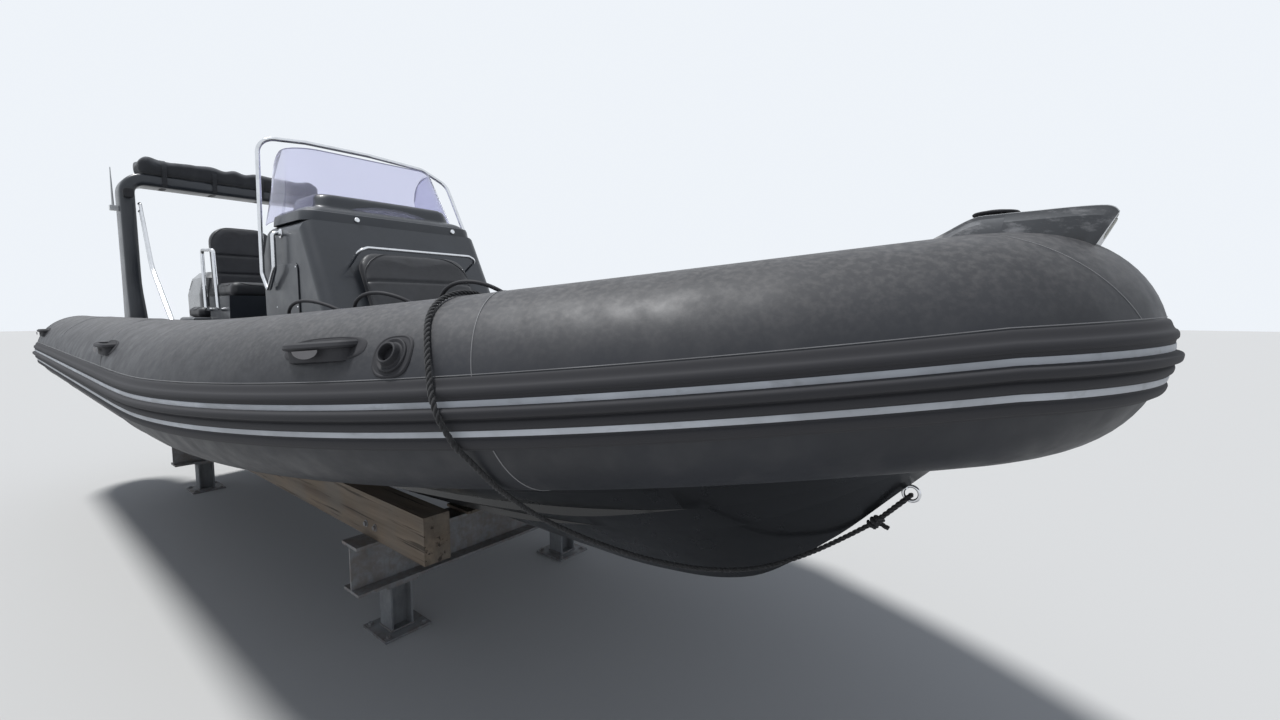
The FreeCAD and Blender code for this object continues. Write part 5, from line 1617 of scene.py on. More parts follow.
@dataclass
class BowNose:
    """Step between the bow tubes, its raked nose with the anchor channel, and the capstan on it."""

    shop: Workshop
    # station, half width of the top, half width at the tube, top height, lowest height
    table: Table = (
        (6.500, 0.296, 0.300, 1.600, 1.245), (6.580, 0.300, 0.310, 1.601, 1.245),
        (6.660, 0.296, 0.315, 1.648, 1.300), (6.740, 0.282, 0.312, 1.697, 1.420),
        (6.800, 0.255, 0.300, 1.734, 1.480), (6.850, 0.210, 0.272, 1.768, 1.500),
        (6.900, 0.180, 0.242, 1.776, 1.500), (6.960, 0.150, 0.200, 1.781, 1.520),
        (7.010, 0.120, 0.158, 1.786, 1.540), (7.050, 0.104, 0.136, 1.786, 1.560),
        (7.066, 0.101, 0.133, 1.780, 1.580), (7.078, 0.098, 0.130, 1.770, 1.600),
    )
    channel_half: float = 0.045
    channel_start: float = 6.936
    channel_floor: float = 1.722
    rake: float = 0.50
    roller_place: Point = (7.048, 0.0, 1.746)
    capstan_place: Point = (6.871, 0.0, 1.7745)

    capstan: Table = (
        (-0.004, 0.044), (0.003, 0.043), (0.005, 0.034), (0.014, 0.033), (0.018, 0.040), (0.0225, 0.052),
        (0.0265, 0.053), (0.029, 0.050), (0.030, 0.030), (0.033, 0.028), (0.034, 0.012), (0.034, 0.0),
    )
    spool: Table = (
        (0.0, 0.008), (0.0, 0.022), (0.003, 0.024), (0.010, 0.024), (0.020, 0.017), (0.036, 0.014),
        (0.052, 0.017), (0.062, 0.024), (0.069, 0.024), (0.072, 0.022), (0.072, 0.008),
    )
    pin: Table = ((0.0, 0.0), (0.0, 0.006), (0.092, 0.006), (0.092, 0.0))
    stem_ring: Point = (6.700, 0.0, 1.020)
    stem_way: Point = (0.68, 0.0, -0.73)
    stem_bolt: Table = (
        (-0.020, 0.014), (0.008, 0.014), (0.010, 0.011), (0.014, 0.0065), (0.020, 0.006), (0.020, 0.0),
    )
    sole_eye: Point = (5.640, -0.500, 1.1003)

    def build(self) -> None:
        """Make the nose, its lining, the roller, the capstan and the two rings."""
        shell = Draft().grid([self.section(x) for x in steps(self.table[0][0], self.table[-1][0], 150)])
        self.shop.make("nose_shell", shell, NOSE_MOULDING, replaces=["bow_nose"], bevel=0.003, sharp=24.0)
        self.lining()
        self.roller()
        capstan = Draft().lathe(Vector(self.capstan_place), UPWARD, self.capstan, 56)
        self.shop.make("capstan", capstan, PLASTIC, replaces=["windlass"], sharp=30.0)
        self.rings()

    def lean(self, x: float, z: float) -> float:
        """Forward shift of the raked tip at a height."""
        return self.rake * smoothstep(6.93, 7.078, x) * (z - 1.697)

    def section(self, x: float) -> Row:
        """Outline across the nose, with the channel sunk in its top.

        Args:
            x: Station along the boat.

        Returns:
            The outline's points.
        """
        top_half, base_half, top, low = catmull(self.table, x)
        floor = lerp(top, self.channel_floor, smoothstep(self.channel_start, self.channel_start + 0.010, x))
        half = self.channel_half
        side = [(0.0, floor), (half - 0.001, floor), (half, floor + 0.0004), (half + 0.002, top - 0.002),
                (half + 0.005, top), (top_half - 0.020, top), (top_half - 0.006, top - 0.003),
                (top_half + 0.001, top - 0.012)]
        for share in (0.35, 0.65, 1.0):
            bulge = 0.006 * math.sin(math.pi * share)
            side.append((lerp(top_half, base_half, share) + bulge, lerp(top, top - 0.075, share)))
        side += [(base_half, low + 0.02), (base_half * 0.9, low), (0.0, low)]
        right = [Vector((x + self.lean(x, z), -y, z)) for y, z in side]
        return right + flipped(right[-2:0:-1])

    def lining(self) -> None:
        """Pale faces inside the channel."""
        draft = Draft()
        floor, face = self.channel_floor + 0.002, self.channel_half - 0.0005
        for side in Side:
            rows = []
            for x in steps(self.channel_start + 0.012, 7.079, 12):
                rim = catmull(self.table, x)[2] - 0.003
                rows.append([Vector((x + self.lean(x, z), side.value * (face - inset), z)) for z, inset in (
                    (floor, 0.0), (rim, -0.001), (rim, 0.002), (floor, 0.003))])
            draft.grid(rows)
        self.shop.make("channel_lining", draft, CHANNEL_FACE)

    def roller(self) -> None:
        """Grooved anchor roller on its pin."""
        place = Vector(self.roller_place)
        spool = Draft().lathe(place - TO_PORT * 0.036, TO_PORT, self.spool, 36)
        self.shop.make("bow_roller", spool, PLASTIC, replaces=["anchor_roller"], sharp=30.0)
        pin = Draft().lathe(place - TO_PORT * 0.046, TO_PORT, self.pin, 20)
        self.shop.make("roller_pin", pin, STAINLESS)

    def rings(self) -> None:
        """Towing ring on the stem and the pad eye on the sole."""
        centre, tilt = Vector(self.stem_ring), Vector(self.stem_way).normalized()
        stem = Draft().sweep(ring(centre, FORWARD, UPWARD, 0.022, 40), 0.005, 14, loop=True)
        stem.lathe(centre - tilt * 0.036, tilt, self.stem_bolt, 28)
        self.shop.make("stem_ring", stem, STAINLESS, replaces=["bow_eye"])
        foot = Vector(self.sole_eye)
        plate = [foot + Vector((0.75 * p.x, p.y, 0.0)) for p in rounded_plan(-0.022, 0.022, 0.030, 0.012)]
        bow = [foot + Vector((0, 0.016 * math.cos(t), 0.003 + 0.026 * math.sin(t)))
               for t in steps(0.0, math.pi, 21)]
        pad = Draft().slab(plate, UPWARD * 0.003).sweep(bow, 0.005, 14)
        self.shop.make("sole_eye", pad, STAINLESS, bevel=0.001)


@dataclass(frozen=True)
class PadForm:
    """One cushion, its box set out along its own axes from the middle of its underside."""

    name: str
    node: str
    foot: Point
    along: Point
    across: Point
    length: float
    width: float
    thick: float
    far_width: float = 0.0
    pair: float = 0.0
    channels: tuple[float, ...] = ()
    rib: bool = False
    body: Body = Body.BOAT
    finish: Finish = SEAT_VINYL
    cap: float = 0.010
    piping: bool = True
    corner: float = 0.045
    far_corner: float = 0.045

    def half(self, v: float) -> float:
        """Half width at a distance along the pad."""
        share = min(1.0, max(0.0, v / self.length))
        return lerp(self.width, self.far_width or self.width, share) / 2.0

    def place(self, point: Vector, shift: float) -> Vector:
        """Point of the pad's own axes in the boat.

        Args:
            point: The point in the pad's own axes.
            shift: How far the pad stands to port of its foot.

        Returns:
            The point in the boat.
        """
        across, along = Vector(self.across), Vector(self.along)
        spot = Vector(self.foot) + across * point.x + along * point.y + across.cross(along) * point.z
        return spot + TO_PORT * shift


AHEAD, LEFT, RIGHT = (1.0, 0.0, 0.0), (0.0, 1.0, 0.0), (0.0, -1.0, 0.0)


@dataclass
class Upholstery:
    """Cushions swollen by cloth simulation, then sewn, piped and set in their places."""

    shop: Workshop
    slack: float = 0.007
    voxel: float = 0.014
    pressure: float = 4.0
    frames: int = 20
    groove: float = 0.0075
    groove_width: float = 0.0085
    piping_radius: float = 0.0038
    forms: tuple[PadForm, ...] = (
        PadForm("front_cushion", "front_seat_cushion", (4.243, 0.0, 1.3906), AHEAD, RIGHT,
                0.396, 0.660, 0.079, channels=(0.34, 0.67)),
        PadForm("front_back", "front_seat_back", (4.156, 0.0, 1.392), (-0.4785, 0.0, 0.8781), LEFT,
                0.530, 0.676, 0.072, channels=(0.30, 0.62), far_corner=0.10),
        PadForm("helm_seats", "helm_cushions", (1.870, 0.0, 1.6606), AHEAD, RIGHT,
                0.419, 0.462, 0.099, pair=0.2435, channels=(0.34, 0.68)),
        PadForm("helm_rests", "helm_backs", (1.772, 0.0, 1.6625), (-0.0986, 0.0, 0.9951), LEFT,
                0.550, 0.462, 0.094, pair=0.2435, channels=(0.30, 0.56), far_corner=0.13),
        PadForm("aft_seat", "aft_cushion", (1.2605, 0.0, 1.5006), AHEAD, RIGHT,
                0.374, 1.058, 0.079, channels=(0.5,), rib=True),
        PadForm("bow_pad", "bow_cushion", (5.4625, 0.0, 1.3109), AHEAD, RIGHT,
                0.755, 0.974, 0.079, far_width=0.376, channels=(0.5,), rib=True, body=Body.BOW_LID),
        PadForm("awning_roll", "awning_boot", (0.742, -0.704, 2.7006), LEFT, AHEAD,
                1.408, 0.296, 0.143, finish=AWNING, cap=0.014, piping=False),
    )

    def build(self) -> None:
        """Make every pad."""
        for form in self.forms:
            cover = self.start(form)
            self.swell(cover, form)
            pad = self.finished(cover, form)
            if form.piping:
                self.pipe(pad, form)
            draft = Draft()
            for shift in ((-form.pair, form.pair) if form.pair else (0.0,)):
                draft.add([form.place(p, shift) for p in pad.points], pad.faces)
            piece = self.shop.make(form.name, draft, form.finish, form.body, [form.node], sharp=180.0)

    def start(self, form: PadForm) -> Piece:
        """Make a slightly smaller rounded block, remeshed evenly.

        Args:
            form: The pad.

        Returns:
            Its cover before it swells.
        """
        low, high = self.slack, form.length - self.slack
        rise = form.thick - self.slack
        shape = bmesh.new()
        bmesh.ops.create_cube(shape, size=1.0)
        for vertex in shape.verts:
            v = high if vertex.co.y > 0 else low
            half = form.half(v) - self.slack
            vertex.co = Vector((math.copysign(half, vertex.co.x), v, rise if vertex.co.z > 0 else 0.0015))
        tall = [edge for edge in shape.edges if self.rise(edge) > 0.5 * rise]
        near = [edge for edge in tall if edge.verts[0].co.y < 0.5 * form.length]
        far = [edge for edge in tall if edge not in near]
        for edges, corner in ((near, form.corner), (far, form.far_corner)):
            bmesh.ops.bevel(shape, geom=edges, offset=corner, segments=6, affect="EDGES", profile=0.5)
        flat = [edge for edge in shape.edges if self.rise(edge) < 1e-5]
        bmesh.ops.bevel(shape, geom=flat, offset=0.26 * form.thick, segments=4, affect="EDGES", profile=0.5)
        mesh = bpy.data.meshes.new("pad_start")
        shape.to_mesh(mesh)
        shape.free()
        cover = placed("pad_start", mesh)
        remesh = cover.modifiers.new("even", "REMESH")
        remesh.mode = "VOXEL"
        remesh.voxel_size = self.voxel
        return self.applied(cover)

    @staticmethod
    def rise(edge: bmesh.types.BMEdge) -> float:
        """Difference in height between an edge's ends."""
        return abs(edge.verts[0].co.z - edge.verts[1].co.z)

    @staticmethod
    def applied(cover: Piece) -> Piece:
        """Apply what a cover's modifiers do, and drop them.

        Args:
            cover: The cover.

        Returns:
            The same cover.
        """
        bpy.context.view_layer.update()
        graph = bpy.context.evaluated_depsgraph_get()
        mesh = bpy.data.meshes.new_from_object(cover.evaluated_get(graph))
        cover.modifiers.clear()
        old, cover.data = cover.data, mesh
        bpy.data.meshes.remove(old)
        return cover

    def swell(self, cover: Piece, form: PadForm) -> None:
        """Blow a cover up by cloth pressure, within its cap.

        Args:
            cover: The cover.
            form: Its pad.
        """
        before = [vertex.co.copy() for vertex in cover.data.vertices]
        cloth = cover.modifiers.new("swell", "CLOTH")
        cloth.settings.use_pressure = True
        cloth.settings.uniform_pressure_force = self.pressure
        cloth.settings.effector_weights.gravity = 0.0
        cloth.point_cache.frame_start = 1
        cloth.point_cache.frame_end = self.frames
        for frame_number in range(1, self.frames + 1):
            bpy.context.scene.frame_set(frame_number)
        self.applied(cover)
        bpy.context.scene.frame_set(1)
        for vertex, start in zip(cover.data.vertices, before):
            move = vertex.co - start
            if move.length > form.cap:
                vertex.co = start + move.normalized() * form.cap

    def finished(self, cover: Piece, form: PadForm) -> Draft:
        """Subdivide a cover, hold it inside its box and sew its channels.

        Args:
            cover: The swollen cover, which is removed.
            form: Its pad.

        Returns:
            Its shape in the pad's own axes.
        """
        smooth = cover.modifiers.new("smooth", "SUBSURF")
        smooth.levels = smooth.render_levels = 1
        self.applied(cover)
        points = []
        for vertex in cover.data.vertices:
            x, y, z = vertex.co
            y = min(form.length, max(0.0, y))
            half = form.half(y)
            x = min(half, max(-half, x))
            z = min(form.thick, max(0.0, z))
            upper = smoothstep(0.30, 0.75, z / form.thick)
            for place in form.channels:
                off = x if form.rib else y - place * form.length
                z -= upper * self.groove * math.exp(-(off / self.groove_width) ** 2)
            if form.finish is AWNING:
                z -= upper * 0.010 * (1.0 + math.sin(23.0 * y + 2.0 * math.sin(9.0 * y) + 14.0 * x))
                x *= 1.0 - 0.05 * (1.0 + math.sin(31.0 * y + 1.3 * math.sin(17.0 * y)))
            points.append(Vector((x, y, z)))
        mesh = cover.data
        pad = Draft().add(points, [tuple(face.vertices) for face in mesh.polygons])
        bpy.data.objects.remove(cover)
        bpy.data.meshes.remove(mesh)
        return pad

    def pipe(self, pad: Draft, form: PadForm) -> None:
        """Sew a piping round a pad's upper edge.

        Args:
            pad: The pad's shape, in its own axes.
            form: The pad.
        """
        skin = bvhtree.BVHTree.FromPolygons(pad.points, pad.faces)
        z = form.thick - 0.15 * form.thick
        half, far = form.half(0.0), form.half(form.length)
        edge = rounded_corners([Vector((-half, 0, z)), Vector((half, 0, z)), Vector((far, form.length, z)),
                                Vector((-far, form.length, z))], 3, closed=True)
        seated = []
        for a, b in zip(edge, edge[1:] + edge[:1]):
            count = max(1, int((b - a).length / 0.02))
            seated += [skin.find_nearest(a.lerp(b, k / count))[0] for k in range(count)]
        piping = Draft().sweep(seated, self.piping_radius, 8, loop=True)
        pad.add(piping.points, piping.faces)


@dataclass
class RollArch:
    """Moulded arch over the helm with flared feet, its lamp and the straps of the awning roll."""

    shop: Workshop
    aft: float = 0.625
    front: float = 0.855
    outer: float = 0.815
    thick: float = 0.100
    foot: float = 1.4003
    top: float = 2.700
    corner: float = 0.170
    flare: float = 0.055
    edge: float = 0.032
    lamp_place: tuple[float, float] = (-0.765, 2.515)
    # distance along the axis, radius
    lens: Table = ((0.0, 0.0235), (0.004, 0.025), (0.019, 0.0255), (0.034, 0.025), (0.039, 0.0235))
    bolt: Table = ((0.030, 0.009), (0.058, 0.009), (0.062, 0.007), (0.063, 0.0))
    straps_at: tuple[float, ...] = (-0.52, -0.17, 0.20, 0.55)

    def build(self) -> None:
        """Make the arch, the lamp, the straps and the feet's bolts."""
        line = self.middle_line()
        shell = Draft().grid([self.section(i, line) for i in range(len(line))])
        self.shop.make("arch_shell", shell, MOULDING, replaces=["arch"], sharp=50.0)
        self.lamp()
        self.straps()
        bolts = Draft()
        for side in Side:
            for x, way in ((self.aft + 0.03, -FORWARD), (self.front - 0.03, FORWARD)):
                foot = Vector((x, side.value * (self.outer - 0.030), self.foot + 0.050))
                bolts.lathe(foot, way, self.bolt, 20)
        self.shop.make("arch_bolts", bolts, STAINLESS)

    def middle_line(self) -> Row:
        """Middle of the arch from the starboard foot to the port foot.

        Returns:
            The line's points.
        """
        half, crown = self.outer - self.thick / 2.0, self.top - self.thick / 2.0
        reach = self.corner - self.thick / 2.0
        side = [Vector((0, -half, z)) for z in steps(self.foot, crown - reach, 16)]
        turn = [Vector((0, -half + reach - reach * math.cos(t), crown - reach + reach * math.sin(t)))
                for t in steps(0.0, math.pi / 2.0, 12)]
        across = [Vector((0, y, crown)) for y in steps(-half + reach, 0.0, 6)]
        starboard = side + turn[1:] + across[1:]
        return starboard + flipped(starboard[-2::-1])

    def section(self, i: int, line: Row) -> Row:
        """Rounded oblong round the middle line.

        Args:
            i: Number of the point that it stands at.
            line: The middle line.

        Returns:
            The oblong's points.
        """
        here, way = line[i], way_at(line, i)
        inward = Vector((0, way.z, -way.y))
        spread = self.flare * smoothstep(0.42, 0.0, here.z - self.foot)
        centre, half = (self.aft + self.front) / 2.0, (self.front - self.aft) / 2.0
        aft, front = -half - 0.4 * spread, half + spread
        outer, inner = -self.thick / 2.0, self.thick / 2.0 + 0.3 * spread
        row = []
        for k, x, d in ((2, aft, outer), (3, front, outer), (0, front, inner), (1, aft, inner)):
            px, pd = x - math.copysign(self.edge, x), d - math.copysign(self.edge, d)
            for t in steps(0.5 * math.pi * k, 0.5 * math.pi * (k + 1), 6):
                row.append(Vector((centre + px + self.edge * math.cos(t), here.y, here.z))
                           + inward * (pd + self.edge * math.sin(t)))
        return row

    def lamp(self) -> None:
        """Side lamp on the front of the starboard leg: a back plate, its lens and a front plate."""
        foot = Vector((self.front + 0.0003, *self.lamp_place))
        outline = [foot + Vector((0, p.x, p.y)) for p in rounded_plan(-0.030, 0.030, 0.035, 0.012)]
        housing = Draft().slab(outline, FORWARD * 0.018)
        housing.slab([p + FORWARD * 0.0545 for p in outline], FORWARD * 0.005)
        self.shop.make("lamp_housing", housing, PLASTIC, replaces=["side_lamp"], bevel=0.002)
        lens = Draft().lathe(foot + FORWARD * 0.0165, FORWARD, self.lens)
        self.shop.make("lamp_lens", lens, LENS_GREEN)

    def straps(self) -> None:
        """Webbing straps that tie the awning roll to the arch."""
        draft = Draft()
        x0, x1 = self.aft - 0.006, self.front + 0.006
        low, high = self.top - self.thick - 0.004, self.top + 0.139
        for y in self.straps_at:
            shape = [Vector((x, y, z)) for x, z in (
                (x0, low), (x1, low), (x1, self.top - 0.02), (x1 + 0.018, self.top + 0.06), (x1 - 0.02, high),
                (x0 + 0.02, high), (x0 - 0.018, self.top + 0.06), (x0, self.top - 0.02))]
            loop = rounded_corners(shape, 3, closed=True)
            middle = sum(loop, Vector()) / len(loop)
            rows = [[p + (p - middle).normalized() * lift + TO_PORT * across for p in loop]
                    for across, lift in ((-0.016, 0.0), (-0.016, 0.0018), (0.016, 0.0018), (0.016, 0.0))]
            draft.grid(rows + rows[:1], ends=False)
        self.shop.make("awning_straps", draft, AWNING)


@dataclass
class Outboard:
    """Trim of the engine: its cowl's band, belt and louvres, and the leg's grilles and anode."""

    shop: Workshop
    middle: float = 0.189
    # height, distance off the cowl's skin
    band: Table = ((1.384, -0.004), (1.386, 0.0035), (1.394, 0.0045), (1.402, 0.0035), (1.404, -0.004))
    belt: Table = ((1.420, -0.003), (1.424, 0.0025), (1.452, 0.0030), (1.456, -0.003))
    louvre: Table = ((1.760, 0.0032), (1.768, 0.0010), (1.768, -0.006))
    louvre_step: float = 0.016
    anode: Table = ((0.0, 0.028), (0.006, 0.028), (0.009, 0.025), (0.010, 0.0))
    anode_place: Point = (0.020, 0.0, 0.522)

    def build(self) -> None:
        """Make the cowl's rings and louvres and the leg's fittings."""
        for name, table, finish in (
                ("cowl_band", self.band, PLASTIC), ("cowl_belt", self.belt, ENGINE_PAINT)):
            draft = Draft().grid([self.skin(z, push) for z, push in table], ends=False)
            self.shop.make(name, draft, finish, Body.ENGINE)
        self.intake()
        self.leg()

    def leg(self) -> None:
        """Flat covers and grilles in the leg's sides, and the anode under its plate."""
        fittings = Draft()
        cover = rounded_plan(-0.05, 0.05, 0.10, 0.03)
        for side in Side:
            out = TO_PORT * side.value
            plate = [Vector((0.215 + 0.6 * p.x, 0, 0.76 + p.y)) + out * 0.052 for p in cover]
            fittings.slab(plate, out * 0.006)
            for z in steps(0.418, 0.474, 5):
                fittings.slab([Vector((x, 0, z + dz)) + out * 0.040 for x, dz in (
                    (0.15, -0.0035), (0.22, -0.0035), (0.22, 0.0035), (0.15, 0.0035))], out * 0.010)
        self.shop.make("leg_fittings", fittings, ENGINE_PAINT, Body.ENGINE, bevel=0.002)
        anode = Draft().lathe(Vector(self.anode_place), -UPWARD, self.anode)
        self.shop.make("plate_anode", anode, STAINLESS, Body.ENGINE)

    def skin(self, z: float, push: float) -> Row:
        """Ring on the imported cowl's skin.

        Args:
            z: Its height.
            push: How far it stands off the skin.

        Returns:
            The ring's points.
        """
        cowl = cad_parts["engine_cowl"].data
        faces = [tuple(face.vertices) for face in cowl.polygons]
        tree = bvhtree.BVHTree.FromPolygons([vertex.co for vertex in cowl.vertices], faces)
        middle = Vector((self.middle - ORIGIN_X, 0.0, z))
        points = []
        for t in steps(0.0, math.tau, 97)[:-1]:
            way = Vector((math.cos(t), 0.62 * math.sin(t), 0)).normalized()
            points.append(tree.ray_cast(middle, way)[0] + way * push + FORWARD * ORIGIN_X)
        return points

    def intake(self) -> None:
        """Louvred air intakes at the cowl's upper sides."""
        draft = Draft()
        for k in range(6):
            lines = [self.skin(z + self.louvre_step * k, push) for z, push in self.louvre]
            for start in (28, 53):
                draft.grid([[line[i] for line in lines] for i in range(start, start + 13)])
        self.shop.make("cowl_louvres", draft, PLASTIC, Body.ENGINE)


@dataclass
class HelmPost:
    """Dials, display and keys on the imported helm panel."""

    shop: Workshop
    run: float = 0.110
    drop: float = 0.190
    lift: float = 0.0122
    row: float = 0.80
    # place across the panel, radius
    dials: Table = ((-0.255, 0.030), (-0.165, 0.038), (-0.075, 0.030))
    display_place: float = 0.115
    keys: tuple[float, ...] = (0.262, 0.282, 0.302, 0.322, 0.342, 0.362)

    @property
    def normal(self) -> Vector:
        """Direction straight out of the panel."""
        return Vector((-self.drop, 0, self.run)).normalized()

    def place(self, share: float, y: float) -> Vector:
        """Point over the slanted helm face, a share of the way up it."""
        low = Vector((LAYOUT.console_aft, y, LAYOUT.console_top - self.drop))
        return low + Vector((self.run, 0, self.drop)) * share + self.normal * self.lift

    def build(self) -> None:
        """Make the instruments."""
        normal = self.normal
        rims, faces, dark = Draft(), Draft(), Draft()
        for y, radius in self.dials:
            seat = self.place(self.row, y)
            rims.lathe(seat, normal, ((0.0, radius), (0.004, radius), (0.006, radius - 0.003),
                                      (0.004, radius - 0.005), (0.001, radius - 0.005)), 40)
            faces.lathe(seat, normal, ((0.0005, radius - 0.005), (0.0012, 0.0)), 40)
            dark.slab([seat + normal * 0.0016 + v for v in self.needle(radius - 0.010)], normal * 0.0008)
        display = rounded_plan(-0.115, 0.115, 0.105, 0.03)
        dark.slab(self.plate(self.display_place, display), normal * 0.006)
        for y in self.keys:
            dark.slab(self.plate(y, rounded_plan(-0.045, 0.045, 0.007, 0.01)), normal * 0.005)
        self.shop.make("dial_rims", rims, STAINLESS)
        self.shop.make("dial_faces", faces, DIAL_FACE)
        self.shop.make("panel_keys", dark, PLASTIC, bevel=0.001)

    def plate(self, y: float, plan: Row) -> Row:
        """Outline on the helm face, about a place across it."""
        return [self.place(self.row + p.x, y + p.y) for p in plan]

    def needle(self, length: float) -> Row:
        """Outline of a dial's needle, pointing to its rest.

        Args:
            length: Reach of its tip from the dial's middle.

        Returns:
            Its corners.
        """
        up = Vector((self.run, 0, self.drop)).normalized()
        way = (up * -0.6 + TO_PORT * -0.8).normalized()
        side = way.cross(self.normal)
        return [way * -0.006 + side * 0.0016, way * -0.006 - side * 0.0016, way * length]


@dataclass
class CradleTrim:
    """Bolts and weld seams of the cradle."""

    shop: Workshop
    beams: tuple[float, float] = (1.150, 4.500)
    posts: tuple[float, float] = (-0.450, 0.650)
    timbers: float = 0.500
    timber_bolts: tuple[float, ...] = (4.46, 4.55, 1.10, 1.19)
    bolt_square: float = 0.090
    post_half: float = 0.0565
    # distance along the axis, radius
    washer: Table = ((0.0, 0.0175), (0.0025, 0.0175), (0.0025, 0.0))
    head: Table = ((0.0, 0.0115), (0.0085, 0.0115), (0.0100, 0.0100), (0.0100, 0.0))

    def build(self) -> None:
        """Make the bolts and welds."""
        bolts, welds = Draft(), Draft()
        square = ((-1, -1), (1, -1), (1, 1), (-1, 1))
        for x in self.beams:
            for y in self.posts:
                for a, b in square:
                    foot = Vector((x + a * self.bolt_square, y + b * self.bolt_square, 0.0122))
                    self.bolt(bolts, foot, UPWARD)
                self.weld(welds, [Vector((x + a * self.post_half, y + b * self.post_half, 0.0145))
                                  for a, b in square])
        for side in Side:
            for x in self.timber_bolts:
                foot = Vector((x, side.value * (self.timbers + 0.0602), 0.545))
                self.bolt(bolts, foot, TO_PORT * side.value)
        self.shop.make("cradle_bolts", bolts, BEAM_STEEL, sharp=25.0)
        self.shop.make("cradle_welds", welds, BEAM_STEEL)

    @staticmethod
    def weld(draft: Draft, corners: Row) -> None:
        """Draw an uneven bead round a post's foot.

        Args:
            draft: Draft to draw in.
            corners: Corners of the post's foot.
        """
        path = [a.lerp(b, k / 14.0) + UPWARD * 0.0012 * math.sin(2.3 * k)
                for a, b in zip(corners, corners[1:] + corners[:1]) for k in range(14)]
        draft.sweep(path, 0.0045, 8, loop=True)

    def bolt(self, draft: Draft, foot: Vector, way: Vector) -> None:
        """Hexagon head on its washer."""
        draft.lathe(foot, way, self.washer, 24).lathe(foot + way * 0.0025, way, self.head, 6)


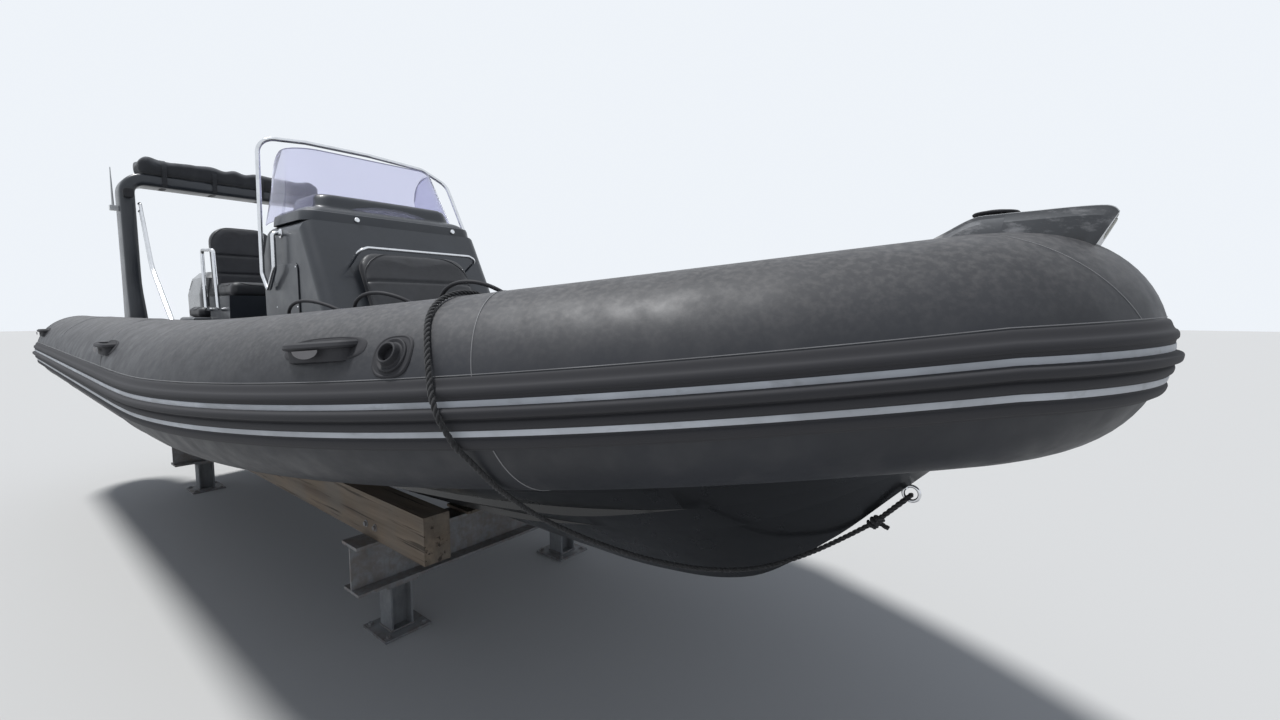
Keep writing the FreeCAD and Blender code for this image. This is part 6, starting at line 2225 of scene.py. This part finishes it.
@dataclass
class Studio:
    """Floor, light and the camera at the photograph's place."""

    eye: Point = (7.078, -1.717, 1.550)
    yaw: float = 0.683
    pitch: float = math.radians(5.08)
    lens: float = 15.556
    floor_reach: float = 60.0
    key_energy: float = 2.9
    key_spread: float = math.radians(9.0)
    key_way: Point = (0.30, 0.22, -1.0)
    sky: Colour = (0.80, 0.87, 1.0)
    sky_strength: float = 0.36
    backdrop: Colour = (0.86, 0.90, 0.95)

    def build(self) -> None:
        """Set the whole stage."""
        self.floor()
        self.lamps()
        self.camera()
        bpy.context.scene.view_settings.view_transform = "Standard"

    def camera(self) -> None:
        """Camera where the photographer stood: beside the bow, looking aft across the boat."""
        data = bpy.data.cameras.new("camera")
        data.lens = self.lens
        data.sensor_width = 36.0
        data.sensor_fit = "HORIZONTAL"
        data.clip_start = 0.02
        camera = placed("camera", data)
        camera.location = Vector(self.eye) - FORWARD * ORIGIN_X
        level = math.cos(self.pitch)
        forward = Vector((-math.sin(self.yaw) * level, math.cos(self.yaw) * level, -math.sin(self.pitch)))
        camera.rotation_euler = forward.to_track_quat("-Z", "Y").to_euler()
        bpy.context.scene.camera = camera

    def floor(self) -> None:
        """Plain pale floor."""
        reach = self.floor_reach
        mesh = bpy.data.meshes.new("studio_floor")
        mesh.from_pydata([(-reach, -reach, 0), (reach, -reach, 0), (reach, reach, 0), (-reach, reach, 0)], [],
                         [(0, 1, 2, 3)])
        sketch = Sketch("pale_floor")
        sketch.set(Base_Color=(0.62, 0.62, 0.61), Roughness=0.9, Specular_IOR_Level=0.1)
        mesh.materials.append(sketch.material)
        placed("studio_floor", mesh)

    def lamps(self) -> None:
        """High soft key from the quarter, and an even pale sky."""
        sun = bpy.data.lights.new("key", "SUN")
        sun.energy = self.key_energy
        sun.angle = self.key_spread
        placed("key", sun).rotation_euler = Vector(self.key_way).to_track_quat("-Z", "Y").to_euler()
        world = bpy.data.worlds.new("studio_sky")
        world.use_nodes = True
        tree = world.node_tree
        sky = tree.nodes["Background"]
        fill(tree, sky, {"Color": self.sky, "Strength": self.sky_strength})
        seen = wired(tree, "Background", {"Color": self.backdrop, "Strength": 1.0})
        rays = wired(tree, "LightPath", {}).outputs
        shown = rays["Is Camera Ray"]
        for kind in ("Is Glossy Ray", "Is Transmission Ray"):
            shown = wired(tree, "Math", {0: shown, 1: rays[kind]}, operation="MAXIMUM").outputs["Value"]
        blend = wired(tree, "MixShader", {
            "Fac": shown, 1: sky.outputs["Background"], 2: seen.outputs["Background"]})
        fill(tree, tree.nodes["World Output"], {"Surface": blend.outputs["Shader"]})
        bpy.context.scene.world = world


@dataclass
class Kept:
    """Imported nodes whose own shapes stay, by their finish, with the rounding of their edges."""

    shop: Workshop
    nodes: tuple[tuple[Finish, tuple[tuple[str, float], ...]], ...] = (
        (DECK_SOLE, (("deck", 0.0),)),
        (HULL_GLOSS, (("transom", 0.012),)),
        (MOULDING, (("console_body", 0.006), ("front_seat_base", 0.012), ("helm_pod", 0.008),
                    ("aft_bench", 0.006), ("bow_locker", 0.006), ("bow_lid", 0.005), ("pedestals", 0.010))),
        (STAINLESS, (("front_seat_rail", 0.0), ("helm_rails", 0.0), ("arch_braces", 0.0),
                     ("stern_eyes", 0.0))),
        (PLASTIC, (("helm_boss", 0.0), ("steering_wheel", 0.0), ("throttle", 0.0), ("helm_panel", 0.003))),
        (WHIP_WHITE, (("whip_aerial", 0.0),)),
        (ENGINE_PAINT, (("engine_bracket", 0.004), ("engine_swivel", 0.0), ("engine_leg", 0.0),
                        ("engine_cowl", 0.0))),
        (PROP_STEEL, (("propeller", 0.0),)),
        (BEAM_STEEL, (("cradle_beams", 0.003), ("cradle_posts", 0.003))),
        (BAULK, (("keel_blocks", 0.004), ("cradle_timbers", 0.005))),
    )

    def build(self) -> None:
        """Paint the nodes that no piece replaces."""
        for finish, nodes in self.nodes:
            for node, bevel in nodes:
                self.shop.coat(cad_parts[node], finish, bevel)
                LOG.info("%s keeps its packed shape", node)


def main() -> None:
    """Build the stage and every sub-assembly in order."""
    logging.basicConfig(level=logging.INFO, format="%(name)s: %(message)s")
    shop = Workshop()
    Studio().build()
    for assembly in (Tubes, Hull, MooringRope, TubeFittings, Console, BowNose, Upholstery, RollArch,
                     Outboard, HelmPost, CradleTrim, Kept):
        assembly(shop).build()


if __name__ == "__main__":
    main()
